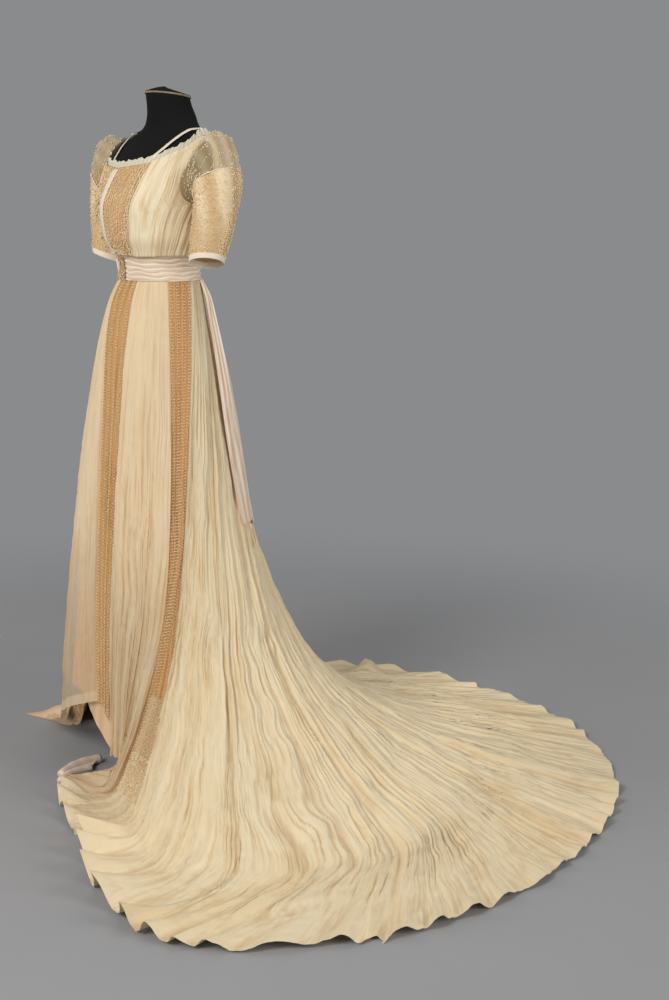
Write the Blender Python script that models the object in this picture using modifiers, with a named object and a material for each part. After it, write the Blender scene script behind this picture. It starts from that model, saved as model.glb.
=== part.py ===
"""A wedding dress of about 1910 on a black limbless dress form.

The dress is gathered silk chiffon over satin, with beaded net bands, short net
sleeves, a pleated satin belt with sash ends, and a long train swept round to the
wearer's left. Metres, +Z up. The wearer faces -Y and her left is +X. An angle
round the figure is in degrees, 0 at the front and growing towards her left.
"""
import math
from collections import namedtuple

import bmesh
import bpy
from mathutils import Vector

# Driving dimensions
COLLECTION = "wedding_dress_on_form"
CHIFFON = 0.0016          # wall of gathered silk chiffon and its beaded net
SATIN = 0.0014            # wall of satin trims
SEAM = 0.0003             # gap between neighbouring pieces
STEP = 0.001              # step in a surface's own units for measuring its slope
DEG_STEP = 0.25           # the same for a surface whose first value is an angle in degrees
BELT_FOOT_Z = 1.100       # lower edge of the belt, where the skirt is gathered in
BELT_TOP_Z = 1.149
WAIST_Z = BELT_FOOT_Z - SEAM
TUCK_Z = BELT_TOP_Z + 2 * SEAM   # the bodice comes out of the belt here
NECK_TOP_Z = 1.484        # middle of the form's cut neck
NECK_TILT = 0.006         # the cut is this much higher at the front than in the middle
TORSO_FOOT_Z = 0.880      # underside of the form's hips
BASE_RADIUS = 0.110
BASE_HEIGHT = 0.026
POLE_RADIUS = 0.0175
SATIN_GLOSS = 0.35        # the satin's roughness

# The form and what hugs it: a section at each height
Section = namedtuple("Section", "z half_width front back centre_y")
FORM = (
    Section(0.880, 0.106, 0.086, 0.088, 0.000),
    Section(0.900, 0.112, 0.092, 0.094, 0.000),
    Section(0.940, 0.113, 0.095, 0.096, 0.000),
    Section(1.000, 0.106, 0.090, 0.087, 0.000),
    Section(1.060, 0.097, 0.080, 0.078, 0.000),
    Section(1.118, 0.0915, 0.0715, 0.072, 0.000),
    Section(1.160, 0.096, 0.078, 0.075, 0.000),
    Section(1.200, 0.115, 0.103, 0.085, 0.000),
    Section(1.255, 0.133, 0.118, 0.092, 0.000),
    Section(1.300, 0.142, 0.107, 0.093, 0.004),
    Section(1.345, 0.145, 0.085, 0.088, 0.010),
    Section(1.375, 0.141, 0.064, 0.076, 0.018),
    Section(1.395, 0.128, 0.050, 0.062, 0.026),
    Section(1.408, 0.104, 0.045, 0.054, 0.032),
    Section(1.422, 0.076, 0.046, 0.052, 0.037),
    Section(1.440, 0.057, 0.050, 0.052, 0.038),
    Section(1.465, 0.0475, 0.047, 0.049, 0.033),
    Section(1.495, 0.0450, 0.045, 0.046, 0.027),
)

FORM_SIDES = 22
TORSO_FOOT_SHRINK = 0.90  # the hips' lower edge is drawn in by this
TORSO_HEIGHTS = (0.880, 0.885, 0.900, 0.940, 1.000, 1.060, 1.095, 1.118, 1.142, 1.170, 1.200, 1.228, 1.255,
                 1.280, 1.305, 1.330, 1.350, 1.366, 1.378, 1.388, 1.397, 1.404, 1.411, 1.420, 1.432, 1.450)

# The cap on the cut neck: how far each ring stands out from the cut's edge, and above it
CapRow = namedtuple("CapRow", "out rise")
CAP_ROWS = (CapRow(0.0005, 0.0003), CapRow(0.0024, 0.0018), CapRow(0.0024, 0.0044), CapRow(0.0005, 0.0060),
            CapRow(-0.010, 0.0105), CapRow(-0.026, 0.0145))

# The stand's base, as radius and height from the pole out
Turned = namedtuple("Turned", "radius z")
BASE_PROFILE = (
    Turned(0.0, BASE_HEIGHT), Turned(0.030, BASE_HEIGHT), Turned(0.045, 0.018), Turned(0.080, 0.013),
    Turned(BASE_RADIUS - 0.006, 0.010), Turned(BASE_RADIUS, 0.006), Turned(BASE_RADIUS, 0.0),
    Turned(0.0, 0.0),
)

# How far the bodice stands off the form: it blouses over the belt
Ease = namedtuple("Ease", "z front side back")
BODICE_EASE = (
    Ease(1.116, 0.0008, 0.0008, 0.0008),
    Ease(1.150, 0.0010, 0.0010, 0.0010),
    Ease(1.163, 0.0190, 0.0130, 0.0120),
    Ease(1.190, 0.0170, 0.0120, 0.0120),
    Ease(1.225, 0.0120, 0.0060, 0.0060),
    Ease(1.268, 0.0070, 0.0040, 0.0030),
    Ease(1.330, 0.0060, 0.0075, 0.0060),
    Ease(1.375, 0.0065, 0.0105, 0.0070),
    Ease(1.400, 0.0065, 0.0070, 0.0065),
)

# The neckline's height by direction, and where the bodice is turned by the pull of the train
NeckPoint = namedtuple("NeckPoint", "deg z")
NECKLINE = (
    NeckPoint(0, 1.330), NeckPoint(30, 1.338), NeckPoint(60, 1.364), NeckPoint(85, 1.391),
    NeckPoint(100, 1.395), NeckPoint(130, 1.386), NeckPoint(180, 1.366),
)
Twist = namedtuple("Twist", "z deg")
BODICE_TWIST = (Twist(1.116, -20.0), Twist(1.190, -15.0), Twist(1.270, -10.0), Twist(1.400, 0.0))
TWIST_END_DEG = 95.0      # nothing is pulled round beyond this
PANEL_HALF_DEG = 37.0     # the beaded front panel reaches this far each side of the centre front
BODICE_FOOT_Z = 1.118
TUCKED = 0.2              # this share of a panel's rows is tucked into the belt
BODICE_ROWS = (0.0, TUCKED, 0.24, 0.35, 0.48, 0.60, 0.70, 0.80, 0.90, 1.0)
STRIP_ACROSS = (0.445, 0.50, 0.555)   # the satin ribbon's place across the front panel
STRIP_ROWS = (0.24, 0.35, 0.48, 0.60, 0.70, 0.80, 0.90, 0.98)
EDGING_HEIGHT = 0.013     # gathered net standing up round the neckline
EDGING_WALL = 0.0011
EDGING_WAVES = 30
EDGING_DEPTH = 0.0018     # half the height of a wave at the free edge
EDGING_LIFT = 0.0009      # from the neckline's mean line to the edging's sewn edge

# The straps: from the front neckline (0) over the shoulder to the back (1)
STRAP_WIDTH = 0.008
STRAP_EASE = 0.0021       # from the form to the strap's inner face
STRAP_SLOPE_STEP = 0.02   # share of the strap over which its direction is measured
StrapPoint = namedtuple("StrapPoint", "at deg z")
STRAP = (
    StrapPoint(0, 27, 1.345), StrapPoint(0.15, 34, 1.367), StrapPoint(0.3, 44, 1.391),
    StrapPoint(0.42, 58, 1.4035), StrapPoint(0.58, 80, 1.411), StrapPoint(0.75, 110, 1.4125),
    StrapPoint(0.9, 138, 1.403), StrapPoint(1.0, 150, 1.392),
)

# The armhole in the bodice's side
ARMHOLE_Z = 1.3235
ARMHOLE_HALF_HEIGHT = 0.0600
ARMHOLE_HALF_DEPTH = 0.0440
ARMHOLE_WIDEN = 1.12      # the opening is cut this much wider than its plain angle

# The left sleeve's rings from armhole to hem; the right one mirrors them
Ring = namedtuple("Ring", "x y z outer_x outer_z inner_x inner_z fore_aft tilt_front")
SLEEVE = (
    Ring(0.150, 0.012, 1.3250, 0.000, 0.0620, 0.0000, -0.0620, 0.047, 0),
    Ring(0.176, 0.014, 1.3300, 0.028, 0.0740, -0.0160, -0.0700, 0.052, 0),
    Ring(0.192, 0.014, 1.3150, 0.040, 0.0360, -0.0305, -0.0620, 0.051, 0),
    Ring(0.197, 0.012, 1.2870, 0.042, 0.0120, -0.0345, -0.0460, 0.049, 0),
    Ring(0.196, 0.007, 1.2500, 0.040, 0.0020, -0.0340, -0.0240, 0.046, 0),
    Ring(0.193, 0.001, 1.2050, 0.038, 0.0010, -0.0350, -0.0020, 0.042, 4),
    Ring(0.189, -0.008, 1.1550, 0.033, 0.0080, -0.0330, -0.0080, 0.037, 12),
    Ring(0.188, -0.010, 1.1410, 0.033, 0.0095, -0.0330, -0.0095, 0.036, 14),
)
SLEEVE_LIFT = 0.0013      # from the bodice's outer face to the sleeve's sewn edge
NET_END = 2.35            # ring number where the sheer net meets the lined sleeve
BAND_START = 6.05         # ring number where the sleeve's satin hem band begins
NET_WALL = 0.0012
SLEEVE_SIDES = 16
SLEEVE_GATHERS = 5
SLEEVE_GATHER = 0.0016    # half the depth of a gather on the outer side of the arm

# The belt and what hangs from it
BELT_SIDES = 24
BELT_GAP = 0.0050         # from the form to the belt's inner face
BELT_PLEATS = (0.0016, 0.0022, 0.0008, 0.0026, 0.0010, 0.0024, 0.0008, 0.0016, 0.0004)
OVER_BELT = SATIN + max(BELT_PLEATS) * 1.3 + SEAM
TAIL_DEG = -20.0          # the front panel's tail hangs over the belt here
TAIL_HALF_DEG = 15.0
TAIL_ROWS = (0.08, 0.35, 0.65, 1.0)
LOOP_HALF_DEG = 4.5
LOOP_FOOT = 0.40          # the loop's lowest place, as a share of the belt's height
LOOP_RISE = 0.42          # its ends are this much higher
LOOP_WIDTH = 0.15
SashEnd = namedtuple("SashEnd", "name start_deg end_deg foot_z")
SASH_ENDS = (SashEnd("sash_near", 112, 133, 0.575), SashEnd("sash_far", 137, 154, 0.560))
SashEase = namedtuple("SashEase", "at near far")   # from the skirt's mean face, at each edge of a sash end
SASH_EASE = (SashEase(0.0, 0.0025, 0.0025), SashEase(0.08, 0.0110, 0.0180), SashEase(0.5, 0.0140, 0.0300),
             SashEase(0.85, 0.0125, 0.0220), SashEase(1.0, 0.0125, 0.0140))
SASH_FOLD = 0.0016
TASSEL_LENGTH = 0.040
TASSEL_HEAD = 0.012
TASSEL_STANDOFF = 0.0020  # the tassel hangs this far in front of the sash
SKIRT_SLOPE = 0.26        # how fast the skirt falls outwards there

# The skirt's guide lines: the angle of a line at each height, then where it ends on the floor
Guide = namedtuple("Guide", "name waist hip knee shin foot hem hem_reach lift spread")
GUIDES = (
    Guide("front_band_far", -30, -1, 8, 13, 15, 15, 0.24, 0.205, 0.0),
    Guide("front_band_near", 20, 21, 21, 22, 23, 23, 0.24, 0.165, 0.0),
    Guide("front_left", 43, 41, 38, 33, 30, 20, 0.24, 0.100, 0.0),
    Guide("swept_edge", 58, 54, 48, 37, 22, -12, 0.24, 0.012, 1.0),
    Guide("side_band_front", 67, 63, 56, 43, 26, -4, 0.275, 0.0, 1.0),
    Guide("side_band_back", 97, 79, 64, 54, 44, 30, 0.45, 0.0, 1.0),
    Guide("train_near", 110, 92, 76, 66, 56, 43, 0.71, 0.0, 1.0),
    Guide("train_left", 125, 107, 92, 82, 74, 55, 0.925, 0.0, 1.0),
    Guide("train_left_back", 140, 124, 112, 104, 96, 77, 1.010, 0.0, 1.0),
    Guide("train_middle", 160, 147, 134, 126, 118, 103, 1.018, 0.0, 1.0),
    Guide("centre_back", 180, 169, 156, 149, 142, 127, 1.024, 0.0, 1.0),
    Guide("train_far", 200, 191, 180, 174, 168, 150, 0.997, 0.0, 1.0),
    Guide("train_far_right", 222, 215, 206, 200, 194, 175, 0.930, 0.0, 1.0),
    Guide("train_right", 242, 238, 231, 226, 220, 207, 0.800, 0.0, 1.0),
    Guide("right_band_back", 257, 256, 252, 248, 244, 236, 0.660, 0.0, 1.0),
    Guide("right_band_front", 287, 284, 281, 278, 274, 268, 0.480, 0.002, 1.0),
    Guide("right_swept", 300, 300, 298, 296, 293, 288, 0.380, 0.030, 1.0),
    Guide("front_right", 312, 318, 320, 321, 322, 322, 0.260, 0.120, 0.0),
)
STATION_Z = (WAIST_Z, 0.80, 0.44, 0.20, 0.0)
SKIRT_EASE = 0.0036       # from the form to the skirt's inner face at the waist
FRONT_FLARE = 0.16        # how far the front falls away from the waist at the floor
TRAIN_FLARE = 0.155
TRAIN_SWEEP = 0.45        # extra reach of the train where it meets the floor
SWEEP_FALL = 0.165        # height over which that reach dies away
LINE_STEPS = 44           # measured steps along one guide line
FLOOR_STEPS = 12

# The skirt's panels: between which guides, how many folds, and how deep they are
Panel = namedtuple("Panel", "name start end v_start v_end folds waist_fold mid_fold hem_fold colour")
IVORY = (0.86, 0.76, 0.56)
CREAM = (0.87, 0.80, 0.66)
PEACH = (0.80, 0.60, 0.38)
SATIN_WHITE = (0.90, 0.82, 0.70)
PEACH_SATIN = (0.82, 0.66, 0.48)
BLACK = (0.012, 0.012, 0.014)
PAINT = (0.05, 0.05, 0.055)
CAP_WOOD = (0.25, 0.20, 0.13)
BAND_END = 0.88           # the left side band ends here on the way to its hem
SKIRT_ROWS = (0.0, 0.06, 0.15, 0.26, 0.38, 0.49, 0.60, 0.70, 0.79, BAND_END, 0.94, 1.0)
PANELS = (
    Panel("skirt_band_front", -30, 20, 0.0, 1.0, 2, 0.0004, 0.0020, 0.0022, PEACH),
    Panel("skirt_front_left", 20, 67, 0.0, 1.0, 6, 0.0005, 0.0055, 0.0085, CREAM),
    Panel("skirt_band_left", 67, 97, 0.0, BAND_END, 2, 0.0004, 0.0022, 0.0024, PEACH),
    Panel("train_foot_left", 67, 97, BAND_END, 1.0, 2, 0.0024, 0.0024, 0.0090, IVORY),
    Panel("train_side_left", 97, 140, 0.0, 1.0, 8, 0.0005, 0.0062, 0.0160, IVORY),
    Panel("train_back_left", 140, 180, 0.0, 1.0, 8, 0.0005, 0.0062, 0.0110, IVORY),
    Panel("train_back_right", 180, 222, 0.0, 1.0, 6, 0.0005, 0.0060, 0.0110, IVORY),
    Panel("train_side_right", 222, 257, 0.0, 1.0, 4, 0.0005, 0.0055, 0.0100, IVORY),
    Panel("skirt_band_right", 257, 287, 0.0, 1.0, 2, 0.0004, 0.0022, 0.0040, PEACH),
    Panel("skirt_front_right", 287, 330, 0.0, 1.0, 6, 0.0005, 0.0055, 0.0080, CREAM),
)
FOLD_COLUMNS = 3          # columns of points for each fold
LACE_ROWS = (0.70, 0.79, BAND_END)    # the rows of a side band that its lace patch covers

# The satin underskirt, its corner on the floor and its rolled edges
UNDERSKIRT_START_DEG = -62.0
UNDERSKIRT_END_DEG = 24.0
FootPoint = namedtuple("FootPoint", "deg z")
UNDERSKIRT_FOOT = (FootPoint(-62, 0.170), FootPoint(-10, 0.215), FootPoint(8, 0.180), FootPoint(24, 0.115))
UNDERSKIRT_WAIST_GAP = 0.0027
UNDERSKIRT_GAP = 0.012    # it hangs this much further inside the chiffon below the waist
CORNER_INNER_FRONT = (-0.362, -0.062, 0.0)
CORNER_TIP = (-0.505, -0.095, 0.0)
CORNER_INNER_BACK = (-0.345, -0.030, 0.0)
CORNER_OUTER_BACK = (-0.477, 0.013, 0.0)
CORNER_CRUMPLE = 0.009
Roll = namedtuple("Roll", "name start end radius")
SATIN_ROLLS = (
    Roll("satin_roll_upper", (-0.0958, -0.130, 0.0), (-0.0645, -0.250, 0.0), 0.0085),
    Roll("satin_roll_lower", (-0.0645, -0.172, 0.0), (-0.0385, -0.268, 0.0), 0.0065),
)
ROLL_SIDES = 8
ROLL_RINGS = 7
ROLL_BEND = 0.010


def through(xs, ys, x):
    """A smooth curve through the given values that never overshoots them."""
    if x <= xs[0]:
        return ys[0]
    if x >= xs[-1]:
        return ys[-1]
    k = max(i for i in range(len(xs) - 1) if xs[i] <= x)

    def slope(i):
        if i <= 0 or i >= len(xs) - 1:
            j = min(max(i, 0), len(xs) - 2)
            return (ys[j + 1] - ys[j]) / (xs[j + 1] - xs[j])
        before = (ys[i] - ys[i - 1]) / (xs[i] - xs[i - 1])
        after = (ys[i + 1] - ys[i]) / (xs[i + 1] - xs[i])
        if before * after <= 0:
            return 0.0
        return 2 * before * after / (before + after)

    width = xs[k + 1] - xs[k]
    t = (x - xs[k]) / width
    a, b = slope(k) * width, slope(k + 1) * width
    t2, t3 = t * t, t * t * t
    return ((2 * t3 - 3 * t2 + 1) * ys[k] + (t3 - 2 * t2 + t) * a
            + (3 * t2 - 2 * t3) * ys[k + 1] + (t3 - t2) * b)


def ease_in(t):
    """0 below 0, 1 above 1 and a soft step between."""
    t = min(1.0, max(0.0, t))
    return t * t * (3 - 2 * t)


def column(rows, field):
    """One named column of a table."""
    return [getattr(row, field) for row in rows]


# The form's surface

FORM_Z = column(FORM, "z")
FORM_COLUMNS = {name: column(FORM, name) for name in ("half_width", "front", "back", "centre_y")}


def form_point(deg, z):
    """A point on the form in one direction and at one height."""
    a = math.radians(deg)
    size = {name: through(FORM_Z, values, z) for name, values in FORM_COLUMNS.items()}
    turn = 0.5 + 0.5 * math.cos(a)
    depth = size["front"] * turn + size["back"] * (1 - turn)
    return Vector((size["half_width"] * math.sin(a), size["centre_y"] - depth * math.cos(a), z))


def normal_at(base, a, b, step=STEP):
    """The outward direction of a surface whose second parameter grows upwards."""
    along = base(a + step, b) - base(a - step, b)
    up = base(a, b + STEP) - base(a, b - STEP)
    return along.cross(up).normalized()


def raised(base, a, b, height, turn=1.0, step=STEP):
    """A point standing off a surface by a height."""
    return base(a, b) + normal_at(base, a, b, step) * (height * turn)


# Making solids

def material(name, colour, roughness=0.7):
    """A plain finish for one sub-part."""
    finish = bpy.data.materials.new(name)
    finish.use_nodes = True
    shader = finish.node_tree.nodes["Principled BSDF"]
    shader.inputs["Base Color"].default_value = (*colour, 1.0)
    shader.inputs["Roughness"].default_value = roughness
    finish.diffuse_color = (*colour, 1.0)
    return finish


def finish_object(name, mesh, colour, roughness=0.7):
    """Put a finished mesh in the dress's collection with its own material."""
    part = bpy.data.objects.new(name, mesh)
    bpy.data.collections[COLLECTION].objects.link(part)
    mesh.materials.append(material(name, colour, roughness))
    mesh.shade_smooth()
    mesh.set_sharp_from_angle(angle=math.radians(40))
    return part


def solid_between(name, outer, inner, colour, closed=False, roughness=0.7):
    """A closed wall between two grids of points, which are lists of columns."""
    bm = bmesh.new()
    skins = [[[bm.verts.new(point) for point in line] for line in grid] for grid in (outer, inner)]
    cols = len(outer)
    rows = len(outer[0])
    spans = cols if closed else cols - 1
    for side, skin in enumerate(skins):
        for i in range(spans):
            for j in range(rows - 1):
                left, right = skin[i], skin[(i + 1) % cols]
                face = (left[j], right[j], right[j + 1], left[j + 1])
                bm.faces.new(face if side == 0 else face[::-1])
    for i in range(spans):
        for j in (0, rows - 1):
            ends = (skins[0][i][j], skins[1][i][j], skins[1][(i + 1) % cols][j], skins[0][(i + 1) % cols][j])
            bm.faces.new(ends if j == 0 else ends[::-1])
    if not closed:
        for i in (0, cols - 1):
            for j in range(rows - 1):
                ends = (skins[0][i][j], skins[0][i][j + 1], skins[1][i][j + 1], skins[1][i][j])
                bm.faces.new(ends if i == 0 else ends[::-1])
    bmesh.ops.recalc_face_normals(bm, faces=bm.faces)
    bmesh.ops.triangulate(bm, faces=bm.faces)
    mesh = bpy.data.meshes.new(name)
    bm.to_mesh(mesh)
    bm.free()
    return finish_object(name, mesh, colour, roughness)


def solid_of_rings(name, rings, colour, roughness):
    """A closed solid through rings of points, each with the same number of them."""
    bm = bmesh.new()
    loops = [[bm.verts.new(point) for point in ring] for ring in rings]
    for lower, upper in zip(loops, loops[1:]):
        for i in range(len(lower)):
            k = (i + 1) % len(lower)
            bm.faces.new((lower[i], lower[k], upper[k], upper[i]))
    bm.faces.new(loops[0][::-1])
    bm.faces.new(loops[-1])
    bmesh.ops.recalc_face_normals(bm, faces=bm.faces)
    bmesh.ops.triangulate(bm, faces=bm.faces)
    mesh = bpy.data.meshes.new(name)
    bm.to_mesh(mesh)
    bm.free()
    return finish_object(name, mesh, colour, roughness)


def cloth(name, base, a_values, b_values, height, colour, wall=CHIFFON, turn=1.0, closed=False,
          seams=(True, True), rims=(False, False), ceiling=10.0, roughness=0.7, step=STEP):
    """A cloth wall on a surface, parted from its neighbours by half a seam on each joined edge.

    No point of it lies below the floor or above the ceiling.
    """
    outer, inner = [], []
    for i, a in enumerate(a_values):
        outer.append([])
        inner.append([])
        for j, b in enumerate(b_values):
            a_here, b_here = a, b
            stretch = (base(a + step, b) - base(a - step, b)).length / (2 * step)
            if not closed and i == 0 and seams[0]:
                a_here += 0.5 * SEAM / stretch
            if not closed and i == len(a_values) - 1 and seams[1]:
                a_here -= 0.5 * SEAM / stretch
            rise = (base(a, b + STEP) - base(a, b - STEP)).length / (2 * STEP)
            if j == 0 and rims[0]:
                b_here += 0.5 * SEAM / rise * (1 if b_values[-1] > b_values[0] else -1)
            if j == len(b_values) - 1 and rims[1]:
                b_here -= 0.5 * SEAM / rise * (1 if b_values[-1] > b_values[0] else -1)
            low = height(a, b)
            for grid, level, lowest in ((inner, low, 0.0), (outer, low + wall, 0.9 * wall)):
                point = raised(base, a_here, b_here, level, turn, step)
                point.z = min(ceiling, max(lowest, point.z))
                grid[-1].append(point)
    return solid_between(name, outer, inner, colour, closed, roughness)


def spread(start, end, count):
    """Evenly spaced values, both ends included."""
    return [start + (end - start) * k / (count - 1) for k in range(count)]


# The dress form

def neck_cut_z(deg):
    """The height of the neck's slanting cut in one direction."""
    return NECK_TOP_Z + NECK_TILT * math.cos(math.radians(deg))


def neck_point(deg, out=0.0, rise=0.0):
    """A point on the edge of the cut neck, moved out and up from it."""
    z = neck_cut_z(deg)
    point = form_point(deg, z)
    centre = Vector((0.0, through(FORM_Z, FORM_COLUMNS["centre_y"], z), z))
    return point + (point - centre).normalized() * out + Vector((0, 0, rise))


def build_form_torso():
    """The padded torso from hips to neck, closed at both ends."""
    around = [360 * i / FORM_SIDES for i in range(FORM_SIDES)]
    rings = [[form_point(deg, z) for deg in around] for z in TORSO_HEIGHTS]
    rings[0] = [Vector((p.x * TORSO_FOOT_SHRINK, p.y * TORSO_FOOT_SHRINK, p.z)) for p in rings[0]]
    rings.append([neck_point(deg) for deg in around])
    solid_of_rings("form_torso", rings, BLACK, 0.9)


def build_neck_cap():
    """The cap on the cut neck: a thin rim with a low dome."""
    around = [360 * i / FORM_SIDES for i in range(FORM_SIDES)]
    rings = [[neck_point(deg, row.out, row.rise) for deg in around] for row in CAP_ROWS]
    solid_of_rings("form_neck_cap", rings, CAP_WOOD, 0.5)


def build_turned(name, profile, steps, colour, roughness):
    """A turned solid: a profile of radius and height, from the top axis point down, spun round Z."""
    mesh = bpy.data.meshes.new(name)
    bm = bmesh.new()
    verts = [bm.verts.new((radius, 0.0, z)) for radius, z in profile]
    for first, second in zip(verts, verts[1:]):
        bm.edges.new((first, second))
    bm.to_mesh(mesh)
    bm.free()
    part = finish_object(name, mesh, colour, roughness)
    screw = part.modifiers.new("turn", "SCREW")
    screw.axis = "Z"
    screw.steps = steps
    screw.render_steps = steps
    screw.use_merge_vertices = True
    screw.merge_threshold = 0.00005
    return part


def build_stand():
    """The pole under the form and the turned base that it stands on."""
    pole_top = TORSO_FOOT_Z - SEAM
    pole_foot = BASE_HEIGHT + SEAM
    pole = ((0.0, pole_top), (POLE_RADIUS, pole_top), (POLE_RADIUS, pole_foot), (0.0, pole_foot))
    build_turned("form_pole", pole, 16, PAINT, 0.4)
    build_turned("form_base", BASE_PROFILE, 28, PAINT, 0.4)


# The bodice

def neckline_z(deg):
    """The neckline's height in one direction."""
    side = abs((deg + 180) % 360 - 180)
    return through(column(NECKLINE, "deg"), column(NECKLINE, "z"), side)


def bodice_ease(deg, z):
    """How far the bodice stands off the form."""
    heights = column(BODICE_EASE, "z")
    front, side, back = (through(heights, column(BODICE_EASE, name), z) for name in ("front", "side", "back"))
    a = math.radians(deg)
    end = front if math.cos(a) > 0 else back
    return side + (end - side) * math.cos(a) ** 2


def twist(z):
    """How far the bodice is pulled round at one height."""
    return through(column(BODICE_TWIST, "z"), column(BODICE_TWIST, "deg"), z)


def bodice_surface(deg, z):
    """The inner face of the bodice before its gathers, in the garment's own angle."""
    deg = (deg + 180) % 360 - 180 if abs(deg) > 180.5 else deg
    turned = deg + twist(z) * ease_in((TWIST_END_DEG - abs(deg)) / 60)
    return raised(form_point, turned, z, bodice_ease(turned, z), 1.0, DEG_STEP)


def bodice_z(deg, v):
    """The height of a row of the bodice: the first rows are level under the belt."""
    if v < TUCKED:
        return BODICE_FOOT_Z + v / TUCKED * (TUCK_Z - BODICE_FOOT_Z)
    return TUCK_Z + (v - TUCKED) / (1 - TUCKED) * (neckline_z(deg) - TUCK_Z)


def armhole_half_deg(z):
    """Half the angle that the armhole takes at one height."""
    rise = (z - ARMHOLE_Z) / ARMHOLE_HALF_HEIGHT
    if abs(rise) >= 1:
        return 0.0
    depth = ARMHOLE_HALF_DEPTH * math.sqrt(1 - rise * rise)
    width = form_point(90, z).x
    return math.degrees(math.atan2(depth, width)) * ARMHOLE_WIDEN


def bodice_panel(name, inner_deg, side_deg, folds, fold_depth, cols, colour, front):
    """A bodice panel from an inner edge to the armhole and side seam, gathered into folds."""
    sign = 1 if side_deg > 0 else -1
    away = -1 if front else 1

    def place(u, v):
        edge = side_deg + sign * away * armhole_half_deg(bodice_z(side_deg, v))
        deg = inner_deg + (edge - inner_deg) * u
        return bodice_surface(deg, bodice_z(deg, v))

    def height(u, v):
        wave = 0.5 - 0.5 * math.cos(2 * math.pi * folds * u)
        uneven = 0.70 + 0.30 * math.sin(5.1 * u + 1.3)
        loose = 0.06 + 0.94 * ease_in((v - TUCKED) / 0.10) * (1 - 0.65 * ease_in((v - 0.70) / 0.30))
        flat_at_armhole = 1 - 0.8 * ease_in((u - 0.70) / 0.30)
        return fold_depth * wave * uneven * loose * flat_at_armhole

    turn = 1.0 if side_deg > inner_deg else -1.0
    cloth(name, place, spread(0.0, 1.0, cols), BODICE_ROWS, height, colour, turn=turn)


def beaded_panel_surface(u, v):
    """The beaded front panel's inner face: u from the wearer's right to her left, v upwards."""
    deg = -PANEL_HALF_DEG + 2 * PANEL_HALF_DEG * u
    return bodice_surface(deg, bodice_z(deg, v))


def build_bodice():
    """The beaded front panel, the gathered fronts and backs, and the satin strip."""
    cloth("bodice_beaded_panel", beaded_panel_surface, spread(0.0, 1.0, 9), BODICE_ROWS,
          lambda u, v: 0.0, PEACH)
    bodice_panel("bodice_front_left", PANEL_HALF_DEG, 90, 6, 0.0042, 19, CREAM, True)
    bodice_panel("bodice_front_right", -PANEL_HALF_DEG, -90, 6, 0.0042, 19, CREAM, True)
    bodice_panel("bodice_back_left", 180, 90, 4, 0.0035, 13, CREAM, False)
    bodice_panel("bodice_back_right", -180, -90, 4, 0.0035, 13, CREAM, False)
    cloth("bodice_satin_strip", beaded_panel_surface, STRIP_ACROSS, STRIP_ROWS, lambda u, v: CHIFFON + SEAM,
          SATIN_WHITE, wall=SATIN, seams=(False, False), roughness=SATIN_GLOSS)


def neck_surface(deg, v):
    """The gathered edging's inner face, standing up from the neckline."""
    return bodice_surface(deg, neckline_z(deg) + EDGING_LIFT + v * EDGING_HEIGHT)


def build_neck_edging():
    """The gathered net round the neckline."""
    count = EDGING_WAVES * 2
    cloth("neck_edging", neck_surface, [360 * k / count for k in range(count)], (0.0, 1.0),
          lambda deg, v: v * EDGING_DEPTH * (1 + math.cos(math.radians(deg) * EDGING_WAVES)),
          SATIN_WHITE, wall=EDGING_WALL, closed=True, step=DEG_STEP)


def strap_place(v):
    """The direction and height of a strap's middle line on her left side."""
    at = column(STRAP, "at")
    v = min(1.0, max(0.0, v))
    return through(at, column(STRAP, "deg"), v), through(at, column(STRAP, "z"), v)


def strap_surface(side):
    """A shoulder strap's inner face: u across it, v from the front neckline over to the back."""
    def middle(v):
        deg, z = strap_place(v)
        return form_point(side * deg, z)

    def place(u, v):
        deg, z = strap_place(v)
        along = (middle(v + STRAP_SLOPE_STEP) - middle(v - STRAP_SLOPE_STEP)).normalized()
        out = normal_at(form_point, side * deg, z, DEG_STEP)
        return middle(v) + along.cross(out) * ((u - 0.5) * STRAP_WIDTH) + out * STRAP_EASE

    return place


def build_straps():
    """The two thin satin straps over the shoulders."""
    for side, name in ((1, "strap_left"), (-1, "strap_right")):
        place = strap_surface(side)
        cloth(name, place, (0.0, 0.5, 1.0), spread(0.0, 1.0, 14), lambda u, v: 0.0, SATIN_WHITE,
              wall=SATIN, turn=-1.0, seams=(False, False), roughness=SATIN_GLOSS)


# The sleeves

SLEEVE_AT = list(range(len(SLEEVE)))
SLEEVE_COLUMNS = {name: column(SLEEVE, name) for name in Ring._fields}


def armhole_edge(turn_deg, side):
    """A point just outside the bodice's armhole edge, as if on the wearer's left."""
    a = math.radians(turn_deg)
    side_z = ARMHOLE_Z + ARMHOLE_HALF_HEIGHT * math.cos(a)
    v = TUCKED + (1 - TUCKED) * (side_z - TUCK_Z) / (neckline_z(90) - TUCK_Z)
    depth = ARMHOLE_HALF_DEPTH * abs(math.sin(a))
    half = math.degrees(math.atan2(depth, form_point(90, side_z).x)) * ARMHOLE_WIDEN
    deg = 90 - half * (1 if math.sin(a) > 0 else -1)
    point = raised(bodice_surface, side * deg, bodice_z(deg, v), CHIFFON + SLEEVE_LIFT, 1.0, DEG_STEP)
    return Vector((side * point.x, point.y, point.z))


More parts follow.
